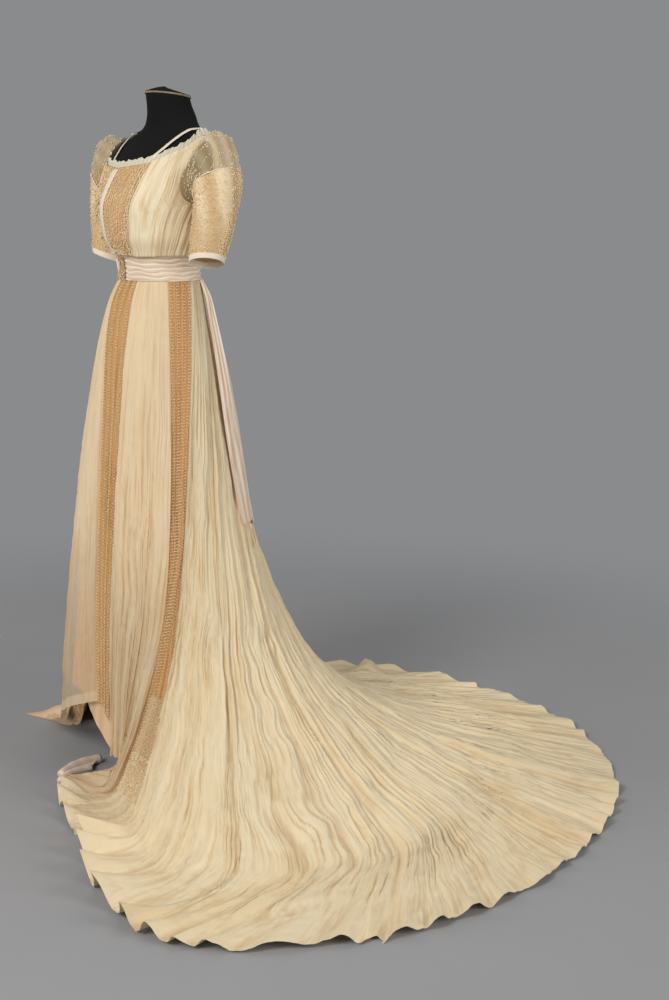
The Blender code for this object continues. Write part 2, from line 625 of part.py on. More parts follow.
def ring_point(turn_deg, along):
    """A point of the sleeve by its table of rings."""
    size = {name: through(SLEEVE_AT, values, along) for name, values in SLEEVE_COLUMNS.items()}
    a = math.radians(turn_deg)
    side = "outer" if math.cos(a) > 0 else "inner"
    reach = abs(math.cos(a))
    front_tilt = math.radians(size["tilt_front"])
    ahead = size["fore_aft"] * math.sin(a)
    return Vector((size["x"] + size[side + "_x"] * reach,
                   size["y"] - ahead * math.cos(front_tilt),
                   size["z"] + size[side + "_z"] * reach + ahead * math.sin(front_tilt)))


def sleeve_surface(turn_deg, along, side):
    """The sleeve's inner face: round the arm from the outside, then from armhole (0) to hem."""
    point = ring_point(turn_deg, along)
    if along < 1:
        sewn = armhole_edge(turn_deg, side)
        point += (sewn - ring_point(turn_deg, 0)) * (1 - max(0, along)) ** 2
    return Vector((side * point.x, point.y, point.z))


def net_end(turn_deg):
    """Where the sheer net ends, a little higher under the arm than outside."""
    inside = 0.5 - 0.5 * math.cos(math.radians(turn_deg))
    return NET_END - 0.20 * inside ** 2


def build_sleeves():
    """Two sleeves, each of sheer net, a lined lower part and a satin hem band."""
    turns = [360 * k / SLEEVE_SIDES for k in range(SLEEVE_SIDES)]
    for side, word in ((1, "left"), (-1, "right")):
        for piece, v_values, wall, colour in (
                ("sleeve_net", spread(0, 1, 5), NET_WALL, CREAM),
                ("sleeve_lined", spread(0, 1, 6), CHIFFON, PEACH),
                ("sleeve_band", (0.0, 1.0), CHIFFON, SATIN_WHITE)):

            def place(turn_deg, v, piece=piece, side=side):
                ends = {"sleeve_net": (0.0, net_end(turn_deg)), "sleeve_lined": (net_end(turn_deg), BAND_START),
                        "sleeve_band": (BAND_START, len(SLEEVE) - 1.0)}[piece]
                return sleeve_surface(turn_deg, ends[0] + (ends[1] - ends[0]) * v, side)

            def gather(turn_deg, v, piece=piece):
                if piece == "sleeve_band":
                    return 0.0
                full = {"sleeve_net": ease_in(v / 0.6), "sleeve_lined": 1 - ease_in((v - 0.3) / 0.6)}[piece]
                outside = 0.55 + 0.45 * math.cos(math.radians(turn_deg))
                return SLEEVE_GATHER * full * outside * (1 + math.cos(math.radians(turn_deg) * SLEEVE_GATHERS))

            cloth(f"{piece}_{word}", place, turns, v_values, gather, colour, wall=wall, turn=side,
                  closed=True, rims=(piece != "sleeve_net", piece != "sleeve_band"), step=DEG_STEP)


# The belt and the sash

def belt_surface(deg, v):
    """The belt's inner face, v upwards."""
    z = BELT_FOOT_Z + v * (BELT_TOP_Z - BELT_FOOT_Z)
    base = form_point(deg, z)
    flat = Vector((base.x, base.y, 0)).normalized()
    return base + flat * BELT_GAP


def build_belt():
    """The pleated satin belt: a wall with flat pleats raised in its outer face."""
    rows = spread(0.0, 1.0, len(BELT_PLEATS))
    outer, inner = [], []
    for k in range(BELT_SIDES):
        deg = 360 * k / BELT_SIDES
        outer.append([])
        inner.append([])
        for v, pleat in zip(rows, BELT_PLEATS):
            uneven = 1 + 0.25 * math.sin(math.radians(deg * 3) + 9 * v)
            inner[-1].append(belt_surface(deg, v))
            outer[-1].append(raised(belt_surface, deg, v, SATIN + pleat * uneven, 1.0, DEG_STEP))
    solid_between("belt", outer, inner, SATIN_WHITE, closed=True, roughness=SATIN_GLOSS)


def build_belt_trims():
    """The beaded panel's tail hanging over the belt, and the little satin loop on it."""
    tail = spread(TAIL_DEG - TAIL_HALF_DEG, TAIL_DEG + TAIL_HALF_DEG, 5)
    cloth("bodice_panel_tail", belt_surface, tail, TAIL_ROWS, lambda deg, v: OVER_BELT, PEACH,
          seams=(False, False), step=DEG_STEP)

    def loop(u, v):
        away = 2 * v - 1
        foot = LOOP_FOOT + LOOP_RISE * abs(away) ** 1.4
        return belt_surface(TAIL_DEG + LOOP_HALF_DEG * away, foot + LOOP_WIDTH * u)

    cloth("belt_loop", loop, (0.0, 1.0), spread(0.0, 1.0, 9), lambda u, v: OVER_BELT + CHIFFON + 2 * SEAM,
          SATIN_WHITE, turn=-1.0, seams=(False, False), roughness=SATIN_GLOSS)


def sash_surface(sash):
    """A sash end's inner face: u across it, v from the belt down."""
    def place(u, v):
        z = WAIST_Z + v * (sash.foot_z - WAIST_Z)
        width = 0.45 + 0.55 * ease_in(v / 0.7)
        middle = 0.5 * (sash.start_deg + sash.end_deg)
        deg = middle + (u - 0.5) * (sash.end_deg - sash.start_deg) * width
        a = math.radians(deg)
        at = column(SASH_EASE, "at")
        near, far = (through(at, column(SASH_EASE, edge), v) for edge in ("near", "far"))
        reach = skirt_reach(deg, z) + near + (far - near) * u
        return Vector((reach * math.sin(a), -reach * math.cos(a), z))

    return place


def build_sash():
    """Two satin sash ends hanging down the back of the skirt, one with a tassel."""
    for sash in SASH_ENDS:
        cloth(sash.name, sash_surface(sash), spread(0.0, 1.0, 7), spread(0.0, 1.0, 9),
              lambda u, v: SASH_FOLD * (1 - math.cos(6 * math.pi * u)) * (1 - 0.6 * v), SATIN_WHITE, wall=SATIN,
              turn=-1.0, seams=(False, False), roughness=SATIN_GLOSS)


def build_tassel():
    """The pearl tassel at the foot of the nearer sash end: strands drawn out of a small head."""
    top = sash_surface(SASH_ENDS[0])(0.45, 1.0) + Vector((0, 0, -2 * SEAM))
    bm = bmesh.new()
    made = bmesh.ops.create_cone(bm, cap_ends=True, cap_tris=False, segments=8, radius1=0.0052, radius2=0.0022,
                                 depth=TASSEL_HEAD)
    bmesh.ops.translate(bm, verts=made["verts"], vec=(0, 0, -TASSEL_HEAD / 2))
    foot = min(bm.faces, key=lambda face: face.calc_center_median().z)
    wedges = bmesh.ops.poke(bm, faces=[foot])["faces"]
    bmesh.ops.inset_individual(bm, faces=wedges, thickness=0.0006, use_even_offset=True)
    drawn = bmesh.ops.extrude_discrete_faces(bm, faces=wedges)["faces"]
    for k, face in enumerate(drawn):
        length = TASSEL_LENGTH * (0.85 + 0.15 * math.cos(2.1 * k))
        middle = face.calc_center_median()
        drawn_out = Vector((middle.x * 0.9, middle.y * 0.9, -length))
        bmesh.ops.translate(bm, verts=face.verts[:], vec=drawn_out)
    outward = Vector((top.x, top.y, 0)).normalized()
    for vert in bm.verts:
        vert.co = top + vert.co + outward * (TASSEL_STANDOFF - SKIRT_SLOPE * vert.co.z)
    bmesh.ops.recalc_face_normals(bm, faces=bm.faces)
    bmesh.ops.triangulate(bm, faces=bm.faces)
    mesh = bpy.data.meshes.new("sash_tassel")
    bm.to_mesh(mesh)
    bm.free()
    finish_object("sash_tassel", mesh, CREAM)


# The skirt and the train

def train_share(deg):
    """How much of the train's sweep a direction takes: none at the front, all at the back."""
    deg %= 360
    return ease_in((deg - 25) / 50) * (1 - ease_in((deg - 232) / 60))


def skirt_reach(deg, z, hem_reach=10.0):
    """How far the skirt stands from the axis in one direction and at one height.

    It meets the floor well inside its hem.
    """
    waist = form_point(deg, WAIST_Z)
    start = math.hypot(waist.x, waist.y) + SKIRT_EASE
    drop = max(0.0, WAIST_Z - z)
    front = start + (FRONT_FLARE - 0.004) * drop ** 0.6
    back = start + TRAIN_FLARE * drop
    share = train_share(deg)
    sweep = min(TRAIN_SWEEP * share, max(0.0, 0.85 * hem_reach - start - TRAIN_FLARE * WAIST_Z))
    fade = math.exp(-z / SWEEP_FALL) - math.exp(-WAIST_Z / SWEEP_FALL)
    return front * (1 - share) + back * share + sweep * fade


def wrapped_guides():
    """The guide lines repeated once round on each side, so that values run on smoothly."""
    rows = []
    for turn in (-360, 0, 360):
        for guide in GUIDES:
            shifted = [getattr(guide, name) + turn for name in ("waist", "hip", "knee", "shin", "foot", "hem")]
            rows.append(Guide(guide.name, *shifted, guide.hem_reach, guide.lift, guide.spread))
    return rows


WRAPPED = wrapped_guides()
GUIDE_AT = column(WRAPPED, "waist")
GUIDE_COLUMNS = {name: column(WRAPPED, name) for name in Guide._fields[1:]}
LINE_CACHE = {}


def skirt_line(deg):
    """One line of the skirt from waist to hem, as points evenly spaced along it."""
    key = round(deg, 6)
    if key in LINE_CACHE:
        return LINE_CACHE[key]
    row = {name: through(GUIDE_AT, values, deg) for name, values in GUIDE_COLUMNS.items()}
    heights = [WAIST_Z - z for z in STATION_Z]
    angles = [row[name] for name in ("waist", "hip", "knee", "shin", "foot")]
    points = []
    for k in range(LINE_STEPS + 1):
        z = WAIST_Z + (row["lift"] - WAIST_Z) * k / LINE_STEPS
        angle = through(heights, angles, WAIST_Z - z)
        reach = skirt_reach(angle, z, row["hem_reach"])
        a = math.radians(angle)
        points.append(Vector((reach * math.sin(a), -reach * math.cos(a), z)))
    landing = points[-1].copy()
    a = math.radians(row["hem"])
    hem = Vector((row["hem_reach"] * math.sin(a), -row["hem_reach"] * math.cos(a), row["lift"]))
    if row["spread"] > 0.001:
        for k in range(1, FLOOR_STEPS + 1):
            points.append(landing + (hem - landing) * (row["spread"] * k / FLOOR_STEPS))
    line = even(points, 80)
    for _ in range(6):
        line = [line[0]] + [(p + 2 * q + r) / 4 for p, q, r in zip(line, line[1:], line[2:])] + [line[-1]]
    LINE_CACHE[key] = even(line, 80)
    return LINE_CACHE[key]


def even(points, count):
    """The same path with evenly spaced points."""
    lengths = [0.0]
    for first, second in zip(points, points[1:]):
        lengths.append(lengths[-1] + (second - first).length)
    result = []
    k = 0
    for step in range(count + 1):
        target = lengths[-1] * step / count
        while k < len(points) - 2 and lengths[k + 1] < target:
            k += 1
        span = max(1e-9, lengths[k + 1] - lengths[k])
        result.append(points[k].lerp(points[k + 1], min(1.0, max(0.0, (target - lengths[k]) / span))))
    return result


def skirt_surface(deg, v):
    """The skirt's inner face before its folds: waist angle round, v from waist to hem."""
    line = skirt_line(deg)
    place = v * (len(line) - 1)
    k = min(len(line) - 2, max(0, int(place)))
    return line[k].lerp(line[k + 1], place - k)


def panel_deg(panel, u):
    """The waist angle of one column of a panel, which makes its folds uneven in width."""
    drift = 0.018 * math.sin(2 * math.pi * 2 * u + panel.start) + 0.010 * math.sin(2 * math.pi * 5 * u)
    return panel.start + (panel.end - panel.start) * (u + drift * math.sin(math.pi * u))


def panel_fold(panel, u, v):
    """How high a panel's folds stand: shallow at the waist and deeper towards the hem."""
    wave = 0.5 - 0.5 * math.cos(2 * math.pi * panel.folds * u)
    uneven = 0.72 + 0.28 * math.sin(7.3 * u + panel.start)
    w = (v - panel.v_start) / (panel.v_end - panel.v_start)
    if w < 0.5:
        depth = panel.waist_fold + (panel.mid_fold - panel.waist_fold) * ease_in(w / 0.5)
    else:
        depth = panel.mid_fold + (panel.hem_fold - panel.mid_fold) * ease_in((w - 0.5) / 0.5)
    return depth * wave * uneven


def build_skirt_panel(panel):
    """One panel of the skirt, gathered into uneven folds."""
    columns = spread(0.0, 1.0, panel.folds * FOLD_COLUMNS + 1)
    rows = [v for v in SKIRT_ROWS if panel.v_start <= v <= panel.v_end]
    cloth(panel.name, lambda u, v: skirt_surface(panel_deg(panel, u), v), columns, rows,
          lambda u, v: panel_fold(panel, u, v), panel.colour, turn=-1.0,
          rims=(panel.v_start > 0, panel.v_end < 1), ceiling=WAIST_Z)


def build_skirt():
    """All the skirt's panels."""
    for panel in PANELS:
        build_skirt_panel(panel)


def build_lace_patches():
    """A patch of beaded lace laid on the foot of each side band."""
    for word in ("left", "right"):
        band = next(panel for panel in PANELS if panel.name == "skirt_band_" + word)
        columns = spread(0.0, 1.0, band.folds * FOLD_COLUMNS + 1)[1:-1]
        cloth("lace_patch_" + word, lambda u, v: skirt_surface(panel_deg(band, u), v), columns, LACE_ROWS,
              lambda u, v: panel_fold(band, u, v) + CHIFFON + SEAM, PEACH, turn=-1.0, seams=(False, False))


def build_underskirt():
    """The peach satin underskirt that shows through the sheer front and below its hem."""
    def place(u, v):
        deg = UNDERSKIRT_START_DEG + u * (UNDERSKIRT_END_DEG - UNDERSKIRT_START_DEG)
        foot_z = through(column(UNDERSKIRT_FOOT, "deg"), column(UNDERSKIRT_FOOT, "z"), deg)
        z = WAIST_Z + v * (foot_z - WAIST_Z)
        inside = UNDERSKIRT_WAIST_GAP + UNDERSKIRT_GAP * ease_in(v / 0.20)
        a = math.radians(deg)
        reach = skirt_reach(deg, z) - inside
        return Vector((reach * math.sin(a), -reach * math.cos(a), z))

    cloth("satin_underskirt", place, spread(0.0, 1.0, 11), spread(0.0, 1.0, 9), lambda u, v: 0.0, PEACH_SATIN,
          wall=SATIN, turn=-1.0, seams=(False, False), ceiling=WAIST_Z, roughness=SATIN_GLOSS)


def build_satin_corner():
    """The satin underskirt's far corner on the floor."""
    def corner(u, v):
        near = Vector(CORNER_INNER_FRONT).lerp(Vector(CORNER_TIP), u)
        far = Vector(CORNER_INNER_BACK).lerp(Vector(CORNER_OUTER_BACK), u)
        return near.lerp(far, v)

    def crumple(u, v):
        return CORNER_CRUMPLE * math.sin(math.pi * u) ** 2 * math.sin(math.pi * v) ** 2

    cloth("satin_corner", corner, spread(0.0, 1.0, 7), spread(0.0, 1.0, 5), crumple, PEACH_SATIN, wall=SATIN,
          turn=-1.0, seams=(False, False), roughness=SATIN_GLOSS)


def build_satin_rolls():
    """The underskirt's rolled edges, lying on the floor near the front."""
    half_turn = math.pi / ROLL_SIDES
    for roll in SATIN_ROLLS:
        first, last = Vector(roll.start), Vector(roll.end)
        along = (last - first).normalized()
        across = along.cross(Vector((0, 0, 1))).normalized()
        up = across.cross(along)
        rings = []
        for t in spread(0.0, 1.0, ROLL_RINGS):
            size = roll.radius * (0.80 + 0.20 * math.sin(math.pi * t))
            centre = first.lerp(last, t) + across * (ROLL_BEND * math.sin(math.pi * t))
            centre.z = size
            # a flat side of the roll lies on the floor
            corner = size / math.cos(half_turn)
            turns = [half_turn * (2 * i + 1) for i in range(ROLL_SIDES)]
            rings.append([centre + across * (corner * math.cos(a)) + up * (corner * math.sin(a)) for a in turns])
        solid_of_rings(roll.name, rings, SATIN_WHITE, SATIN_GLOSS)


def main():
    """Build the whole dress on its form."""
    for item in list(bpy.data.objects):
        bpy.data.objects.remove(item)
    group = bpy.data.collections.new(COLLECTION)
    bpy.context.scene.collection.children.link(group)
    build_form_torso()
    build_neck_cap()
    build_stand()
    build_bodice()
    build_neck_edging()
    build_straps()
    build_sleeves()
    build_belt()
    build_belt_trims()
    build_sash()
    build_tassel()
    build_skirt()
    build_lace_patches()
    build_underskirt()
    build_satin_corner()
    build_satin_rolls()


main()
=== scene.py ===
"""A beaded wedding dress of about 1910, dressed over the measured solids of its form.

Gathered silk chiffon falls over peach satin between beaded net bands, with a satin
belt, sash ends, sheer beaded sleeves and a long train swept to the wearer's left.
Metres, +Z up. The wearer faces -Y and has +X on the left. An angle round the figure is
in degrees, 0 at the front and growing towards the wearer's left.
"""
from __future__ import annotations

import logging
import math
from dataclasses import dataclass
from enum import Enum
from typing import Callable, NamedTuple, Sequence

import bmesh
import bpy
import numpy as np
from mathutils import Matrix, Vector


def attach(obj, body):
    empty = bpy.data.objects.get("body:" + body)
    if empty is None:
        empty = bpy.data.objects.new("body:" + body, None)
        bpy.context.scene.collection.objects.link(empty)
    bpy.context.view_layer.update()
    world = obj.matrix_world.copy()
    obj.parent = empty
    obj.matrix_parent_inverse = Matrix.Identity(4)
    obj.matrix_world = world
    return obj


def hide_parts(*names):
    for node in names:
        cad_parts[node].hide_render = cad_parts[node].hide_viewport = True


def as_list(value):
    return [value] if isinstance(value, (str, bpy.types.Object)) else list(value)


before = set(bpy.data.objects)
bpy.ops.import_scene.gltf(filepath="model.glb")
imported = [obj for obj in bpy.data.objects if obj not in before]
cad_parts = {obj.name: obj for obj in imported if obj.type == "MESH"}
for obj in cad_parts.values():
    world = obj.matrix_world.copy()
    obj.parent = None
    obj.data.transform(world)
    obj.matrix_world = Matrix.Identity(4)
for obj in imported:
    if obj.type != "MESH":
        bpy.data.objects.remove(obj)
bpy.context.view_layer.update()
LOG = logging.getLogger("wedding_dress")
Array = np.ndarray
Colour = tuple[float, float, float]

# Sizes of the form and the dress, most of them shared with the solids

SIDES = ((1, "left"), (-1, "right"))
SATIN = 0.0014
BELT_FOOT_Z = 1.100
BELT_TOP_Z = 1.149
BELT_GAP = 0.0050
WAIST_Z = 1.0997
NECK_TOP_Z = 1.484
NECK_TILT = 0.006
TORSO_FOOT_Z = 0.880


class Section(NamedTuple):
    """One level section of the dress form."""

    z: float
    half_width: float
    front: float
    back: float
    centre_y: float


FORM = (
    Section(0.880, 0.106, 0.086, 0.088, 0.000), Section(0.900, 0.112, 0.092, 0.094, 0.000),
    Section(0.940, 0.113, 0.095, 0.096, 0.000), Section(1.000, 0.106, 0.090, 0.087, 0.000),
    Section(1.060, 0.097, 0.080, 0.078, 0.000), Section(1.118, 0.0915, 0.0715, 0.072, 0.000),
    Section(1.160, 0.096, 0.078, 0.075, 0.000), Section(1.200, 0.115, 0.103, 0.085, 0.000),
    Section(1.255, 0.133, 0.118, 0.092, 0.000), Section(1.300, 0.142, 0.107, 0.093, 0.004),
    Section(1.345, 0.145, 0.085, 0.088, 0.010), Section(1.375, 0.141, 0.064, 0.076, 0.018),
    Section(1.395, 0.128, 0.050, 0.062, 0.026), Section(1.408, 0.104, 0.045, 0.054, 0.032),
    Section(1.422, 0.076, 0.046, 0.052, 0.037), Section(1.440, 0.057, 0.050, 0.052, 0.038),
    Section(1.465, 0.0475, 0.047, 0.049, 0.033), Section(1.495, 0.0450, 0.045, 0.046, 0.027),
)


class Ease(NamedTuple):
    """How far the bodice stands off the form at one height."""

    z: float
    front: float
    side: float
    back: float


BODICE_EASE = (
    Ease(1.116, 0.0008, 0.0008, 0.0008), Ease(1.150, 0.0010, 0.0010, 0.0010),
    Ease(1.163, 0.0190, 0.0130, 0.0120), Ease(1.190, 0.0170, 0.0120, 0.0120),
    Ease(1.225, 0.0120, 0.0060, 0.0060), Ease(1.268, 0.0070, 0.0040, 0.0030),
    Ease(1.330, 0.0060, 0.0075, 0.0060), Ease(1.375, 0.0065, 0.0105, 0.0070),
    Ease(1.400, 0.0065, 0.0070, 0.0065),
)
NECKLINE = ((0, 1.330), (30, 1.338), (60, 1.364), (85, 1.391), (100, 1.395), (130, 1.386), (180, 1.366))
BODICE_TWIST = ((1.116, -20.0), (1.190, -15.0), (1.270, -10.0), (1.400, 0.0))
TWIST_END_DEG = 95.0
TWIST_FADE_DEG = 60.0
PANEL_HALF_DEG = 37.0
BODICE_FOOT_Z = 1.118
TUCKED = 0.2
TUCK_Z = 1.1496
ARMHOLE_Z = 1.3235
ARMHOLE_HALF_HEIGHT = 0.0600
ARMHOLE_HALF_DEPTH = 0.0440
ARMHOLE_WIDEN = 1.12
ARMHOLE_GAP = 0.0029
GATHER_FAN = ((1.15, 36.0), (1.22, 42.0), (1.30, 52.0), (1.39, 46.0))
BLOUSE_Z = 1.163
BLOUSE_HALF_HEIGHT = 0.008
BLOUSE_DROOP = 0.0055
# Heights between which the bodice has painted shade beside the armhole
SHADE_FOOT_Z = 1.19
SHADE_TOP_Z = 1.345


class Ring(NamedTuple):
    """One ring of the left sleeve, from the armhole out."""

    x: float
    y: float
    z: float
    outer_x: float
    outer_z: float
    inner_x: float
    inner_z: float
    fore_aft: float
    tilt_front: float


SLEEVE = (
    Ring(0.150, 0.012, 1.3250, 0.000, 0.0620, 0.0000, -0.0620, 0.047, 0),
    Ring(0.176, 0.014, 1.3300, 0.028, 0.0740, -0.0160, -0.0700, 0.052, 0),
    Ring(0.192, 0.014, 1.3150, 0.040, 0.0360, -0.0305, -0.0620, 0.051, 0),
    Ring(0.197, 0.012, 1.2870, 0.042, 0.0120, -0.0345, -0.0460, 0.049, 0),
    Ring(0.196, 0.007, 1.2500, 0.040, 0.0020, -0.0340, -0.0240, 0.046, 0),
    Ring(0.193, 0.001, 1.2050, 0.038, 0.0010, -0.0350, -0.0020, 0.042, 4),
    Ring(0.189, -0.008, 1.1550, 0.033, 0.0080, -0.0330, -0.0080, 0.037, 12),
    Ring(0.188, -0.010, 1.1410, 0.033, 0.0095, -0.0330, -0.0095, 0.036, 14),
)
NET_END = 2.35
NET_END_RISE = 0.20
BAND_START = 6.05
SLEEVE_END = 7.0


class Guide(NamedTuple):
    """One guide line of the skirt: its angle at five heights, then where its hem lies."""

    waist: float
    hip: float
    knee: float
    shin: float
    foot: float
    hem: float
    hem_reach: float
    lift: float
    spread: float


GUIDES = (
    Guide(-30, -1, 8, 13, 15, 15, 0.24, 0.205, 0.0), Guide(20, 21, 21, 22, 23, 23, 0.24, 0.165, 0.0),
    Guide(43, 41, 38, 33, 30, 20, 0.24, 0.100, 0.0), Guide(58, 54, 48, 37, 22, -12, 0.24, 0.012, 1.0),
    Guide(67, 63, 56, 43, 26, -4, 0.275, 0.0, 1.0), Guide(97, 79, 64, 54, 44, 30, 0.45, 0.0, 1.0),
    Guide(110, 92, 76, 66, 56, 43, 0.71, 0.0, 1.0), Guide(125, 107, 92, 82, 74, 55, 0.925, 0.0, 1.0),
    Guide(140, 124, 112, 104, 96, 77, 1.010, 0.0, 1.0),
    Guide(160, 147, 134, 126, 118, 103, 1.018, 0.0, 1.0),
    Guide(180, 169, 156, 149, 142, 127, 1.024, 0.0, 1.0),
    Guide(200, 191, 180, 174, 168, 150, 0.997, 0.0, 1.0),
    Guide(222, 215, 206, 200, 194, 175, 0.930, 0.0, 1.0),
    Guide(242, 238, 231, 226, 220, 207, 0.800, 0.0, 1.0),
    Guide(257, 256, 252, 248, 244, 236, 0.660, 0.0, 1.0),
    Guide(287, 284, 281, 278, 274, 268, 0.480, 0.002, 1.0),
    Guide(300, 300, 298, 296, 293, 288, 0.380, 0.030, 1.0),
    Guide(312, 318, 320, 321, 322, 322, 0.260, 0.120, 0.0),
)
STATION_Z = (WAIST_Z, 0.80, 0.44, 0.20, 0.0)
SKIRT_EASE = 0.0036
FRONT_FLARE = 0.156
FRONT_ROUNDING = 0.6
TRAIN_FLARE = 0.155
TRAIN_SWEEP = 0.45
TRAIN_STARTS_DEG = (25, 50)
TRAIN_ENDS_DEG = (232, 60)
SWEEP_WITHIN = 0.85
SWEEP_FALL = 0.165
LINE_STEPS = 44
FLOOR_STEPS = 12
LINE_POINTS = 80
LINE_ROUNDS = 6
FLOOR_GAP = 0.0006
BUNCH = (-0.185, 0.762)
BUNCH_RADIUS = 0.032
BUNCH_RISE = 0.042
BUNCH_SEED = 77
SHEER_TOP_Z = 0.62
SHEER_FADE = 0.30
HEM_BODY = 0.55
HEM_HEIGHT = 0.022
BAND_END = 0.88
UNDERSKIRT_FOOT = ((-62, 0.170), (-10, 0.205), (8, 0.150), (24, 0.092))


class StrapPoint(NamedTuple):
    """A place on a strap: its share of the way back, direction and height."""

    at: float
    deg: float
    z: float


STRAP = (
    StrapPoint(0, 27, 1.345), StrapPoint(0.15, 34, 1.367), StrapPoint(0.3, 44, 1.391),
    StrapPoint(0.42, 58, 1.4035), StrapPoint(0.58, 80, 1.411), StrapPoint(0.75, 110, 1.4125),
    StrapPoint(0.9, 138, 1.403), StrapPoint(1.0, 150, 1.392),
)


class SashEase(NamedTuple):
    """How far a sash end stands off the skirt at its two edges."""

    at: float
    near: float
    far: float


SASH_EASE = (SashEase(0.0, 0.0025, 0.0025), SashEase(0.08, 0.0110, 0.0180), SashEase(0.5, 0.0140, 0.0300),
             SashEase(0.85, 0.0125, 0.0220), SashEase(1.0, 0.0125, 0.0140))


class SashEnd(NamedTuple):
    """Where a sash end hangs: its two edges' directions and the height of its foot."""

    name: str
    near_deg: int
    far_deg: int
    foot_z: float


SASH_ENDS = (SashEnd("sash_near", 112, 133, 0.575), SashEnd("sash_far", 137, 154, 0.560))
CORNER_EDGES = (((-0.362, -0.062, 0.0), (-0.505, -0.095, 0.0)), ((-0.345, -0.030, 0.0), (-0.477, 0.013, 0.0)))


class Roll(NamedTuple):
    """A rolled satin edge on the floor."""

    name: str
    start: tuple[float, float, float]
    end: tuple[float, float, float]
    radius: float


ROLLS = (Roll("satin_roll_upper", (-0.0958, -0.130, 0.0), (-0.0645, -0.250, 0.0), 0.0085),
         Roll("satin_roll_lower", (-0.0645, -0.172, 0.0), (-0.0385, -0.268, 0.0), 0.0065))

# Steps for outward directions, and how many values the random planes hold

NEAR_DEG = 0.25
NEAR_Z = 0.001
NOISE_SIZE = (509, 257)


# Curves and surfaces

def through(xs: Sequence[float], ys: Array, x: Array) -> Array:
    """A smooth curve through given values that never overshoots them.

    Args:
        xs: Where the values are given, growing.
        ys: The values, along their first axis.
        x: Where the curve is read; with a table per line, its first axis runs over the lines.

    Returns:
        The curve's values, in the shape of x.
    """
    xs = np.asarray(xs, float)
    ys = np.asarray(ys, float)
    x = np.clip(np.asarray(x, float), xs[0], xs[-1])
    widths = np.diff(xs)
    slopes = np.diff(ys, axis=0) / widths.reshape((-1,) + (1,) * (ys.ndim - 1))
    before, after = slopes[:-1], slopes[1:]
    total = before + after
    inner = np.where(before * after > 0, 2 * before * after / np.where(total == 0, 1, total), 0.0)
    at_knots = np.concatenate([slopes[:1], inner, slopes[-1:]])
    k = np.clip(np.searchsorted(xs, x, "right") - 1, 0, len(xs) - 2)
    width = widths[k]
    t = (x - xs[k]) / width
    if ys.ndim == 1:
        y0, y1, a, b = ys[k], ys[k + 1], at_knots[k] * width, at_knots[k + 1] * width
    else:
        line = np.broadcast_to(np.arange(ys.shape[1])[:, None], k.shape)
        y0, y1 = ys[k, line], ys[k + 1, line]
        a, b = at_knots[k, line] * width, at_knots[k + 1, line] * width
    t2, t3 = t * t, t * t * t
    return (2 * t3 - 3 * t2 + 1) * y0 + (t3 - 2 * t2 + t) * a + (3 * t2 - 2 * t3) * y1 + (t3 - t2) * b


def curve(table: Sequence[tuple], x: Array) -> Array:
    """A smooth curve through a table of places and values."""
    places, values = np.array(table, float).T
    return through(places, values, x)


def ease_in(t: Array) -> Array:
    """0 below 0, 1 above 1 and a soft step between."""
    t = np.clip(t, 0.0, 1.0)
    return t * t * (3 - 2 * t)


def soft_step(x: Array, start: float, width: float) -> Array:
    """A soft step from 0 at a start to 1 a width further on."""
    return ease_in((x - start) / width)


def wave(turn: Array) -> Array:
    """A wave between 0 and 1 that is 0 where its angle is 0."""
    return 0.5 - 0.5 * np.cos(turn)


def column(rows: Sequence[tuple], name: str) -> Array:
    """One named column of a table."""
    return np.array([getattr(row, name) for row in rows], float)


def stack(x: Array, y: Array, z: Array) -> Array:
    """Points from their three coordinates, which are brought to one shape."""
    return np.stack(np.broadcast_arrays(x, y, z), axis=-1)


def round_axis(reach: Array, deg: Array, z: Array) -> Array:
    """Points by how far they stand from the figure's axis, direction and height."""
    a = np.radians(deg)
    return stack(reach * np.sin(a), -reach * np.cos(a), z)


def unit(vectors: Array) -> Array:
    """Vectors of length 1."""
    return vectors / np.maximum(np.linalg.norm(vectors, axis=-1, keepdims=True), 1e-12)


def raised(points: Array, directions: Array, height: Array | float) -> Array:
    """Points moved along their directions by a height."""
    return points + directions * np.asarray(height)[..., None]


def shares(columns: int, rows: int) -> tuple[Array, Array]:
    """Shares from 0 to 1 over a grid: across it, down its first axis, and along it."""
    return np.linspace(0, 1, columns)[:, None], np.linspace(0, 1, rows)[None, :]


def full_turn(count: int) -> Array:
    """Evenly spaced directions all round, down the first axis of a grid."""
    return np.linspace(0, 360, count, endpoint=False)[:, None]


FORM_Z = column(FORM, "z")
FORM_TABLE = {name: column(FORM, name) for name in ("half_width", "front", "back", "centre_y")}


def form_point(deg: Array, z: Array) -> Array:
    """Points on the dress form.

    Args:
        deg: Their directions.
        z: Their heights.

    Returns:
        The points.
    """
    deg, z = np.broadcast_arrays(np.asarray(deg, float), np.asarray(z, float))
    a = np.radians(deg)
    size = {name: through(FORM_Z, values, z) for name, values in FORM_TABLE.items()}
    turn = 0.5 + 0.5 * np.cos(a)
    depth = size["front"] * turn + size["back"] * (1 - turn)
    return stack(size["half_width"] * np.sin(a), size["centre_y"] - depth * np.cos(a), z)


def form_normal(deg: Array, z: Array) -> Array:
    """The outward direction of the form.

    Args:
        deg: The direction of each place on it.
        z: The height of each place.

    Returns:
        A vector of length 1 for each place.
    """
    along = form_point(deg + NEAR_DEG, z) - form_point(deg - NEAR_DEG, z)
    up = form_point(deg, z + NEAR_Z) - form_point(deg, z - NEAR_Z)
    return unit(np.cross(along, up))


def neckline_z(deg: Array) -> Array:
    """The neckline's height in one direction."""
    side = np.abs((np.asarray(deg, float) + 180) % 360 - 180)
    return curve(NECKLINE, side)


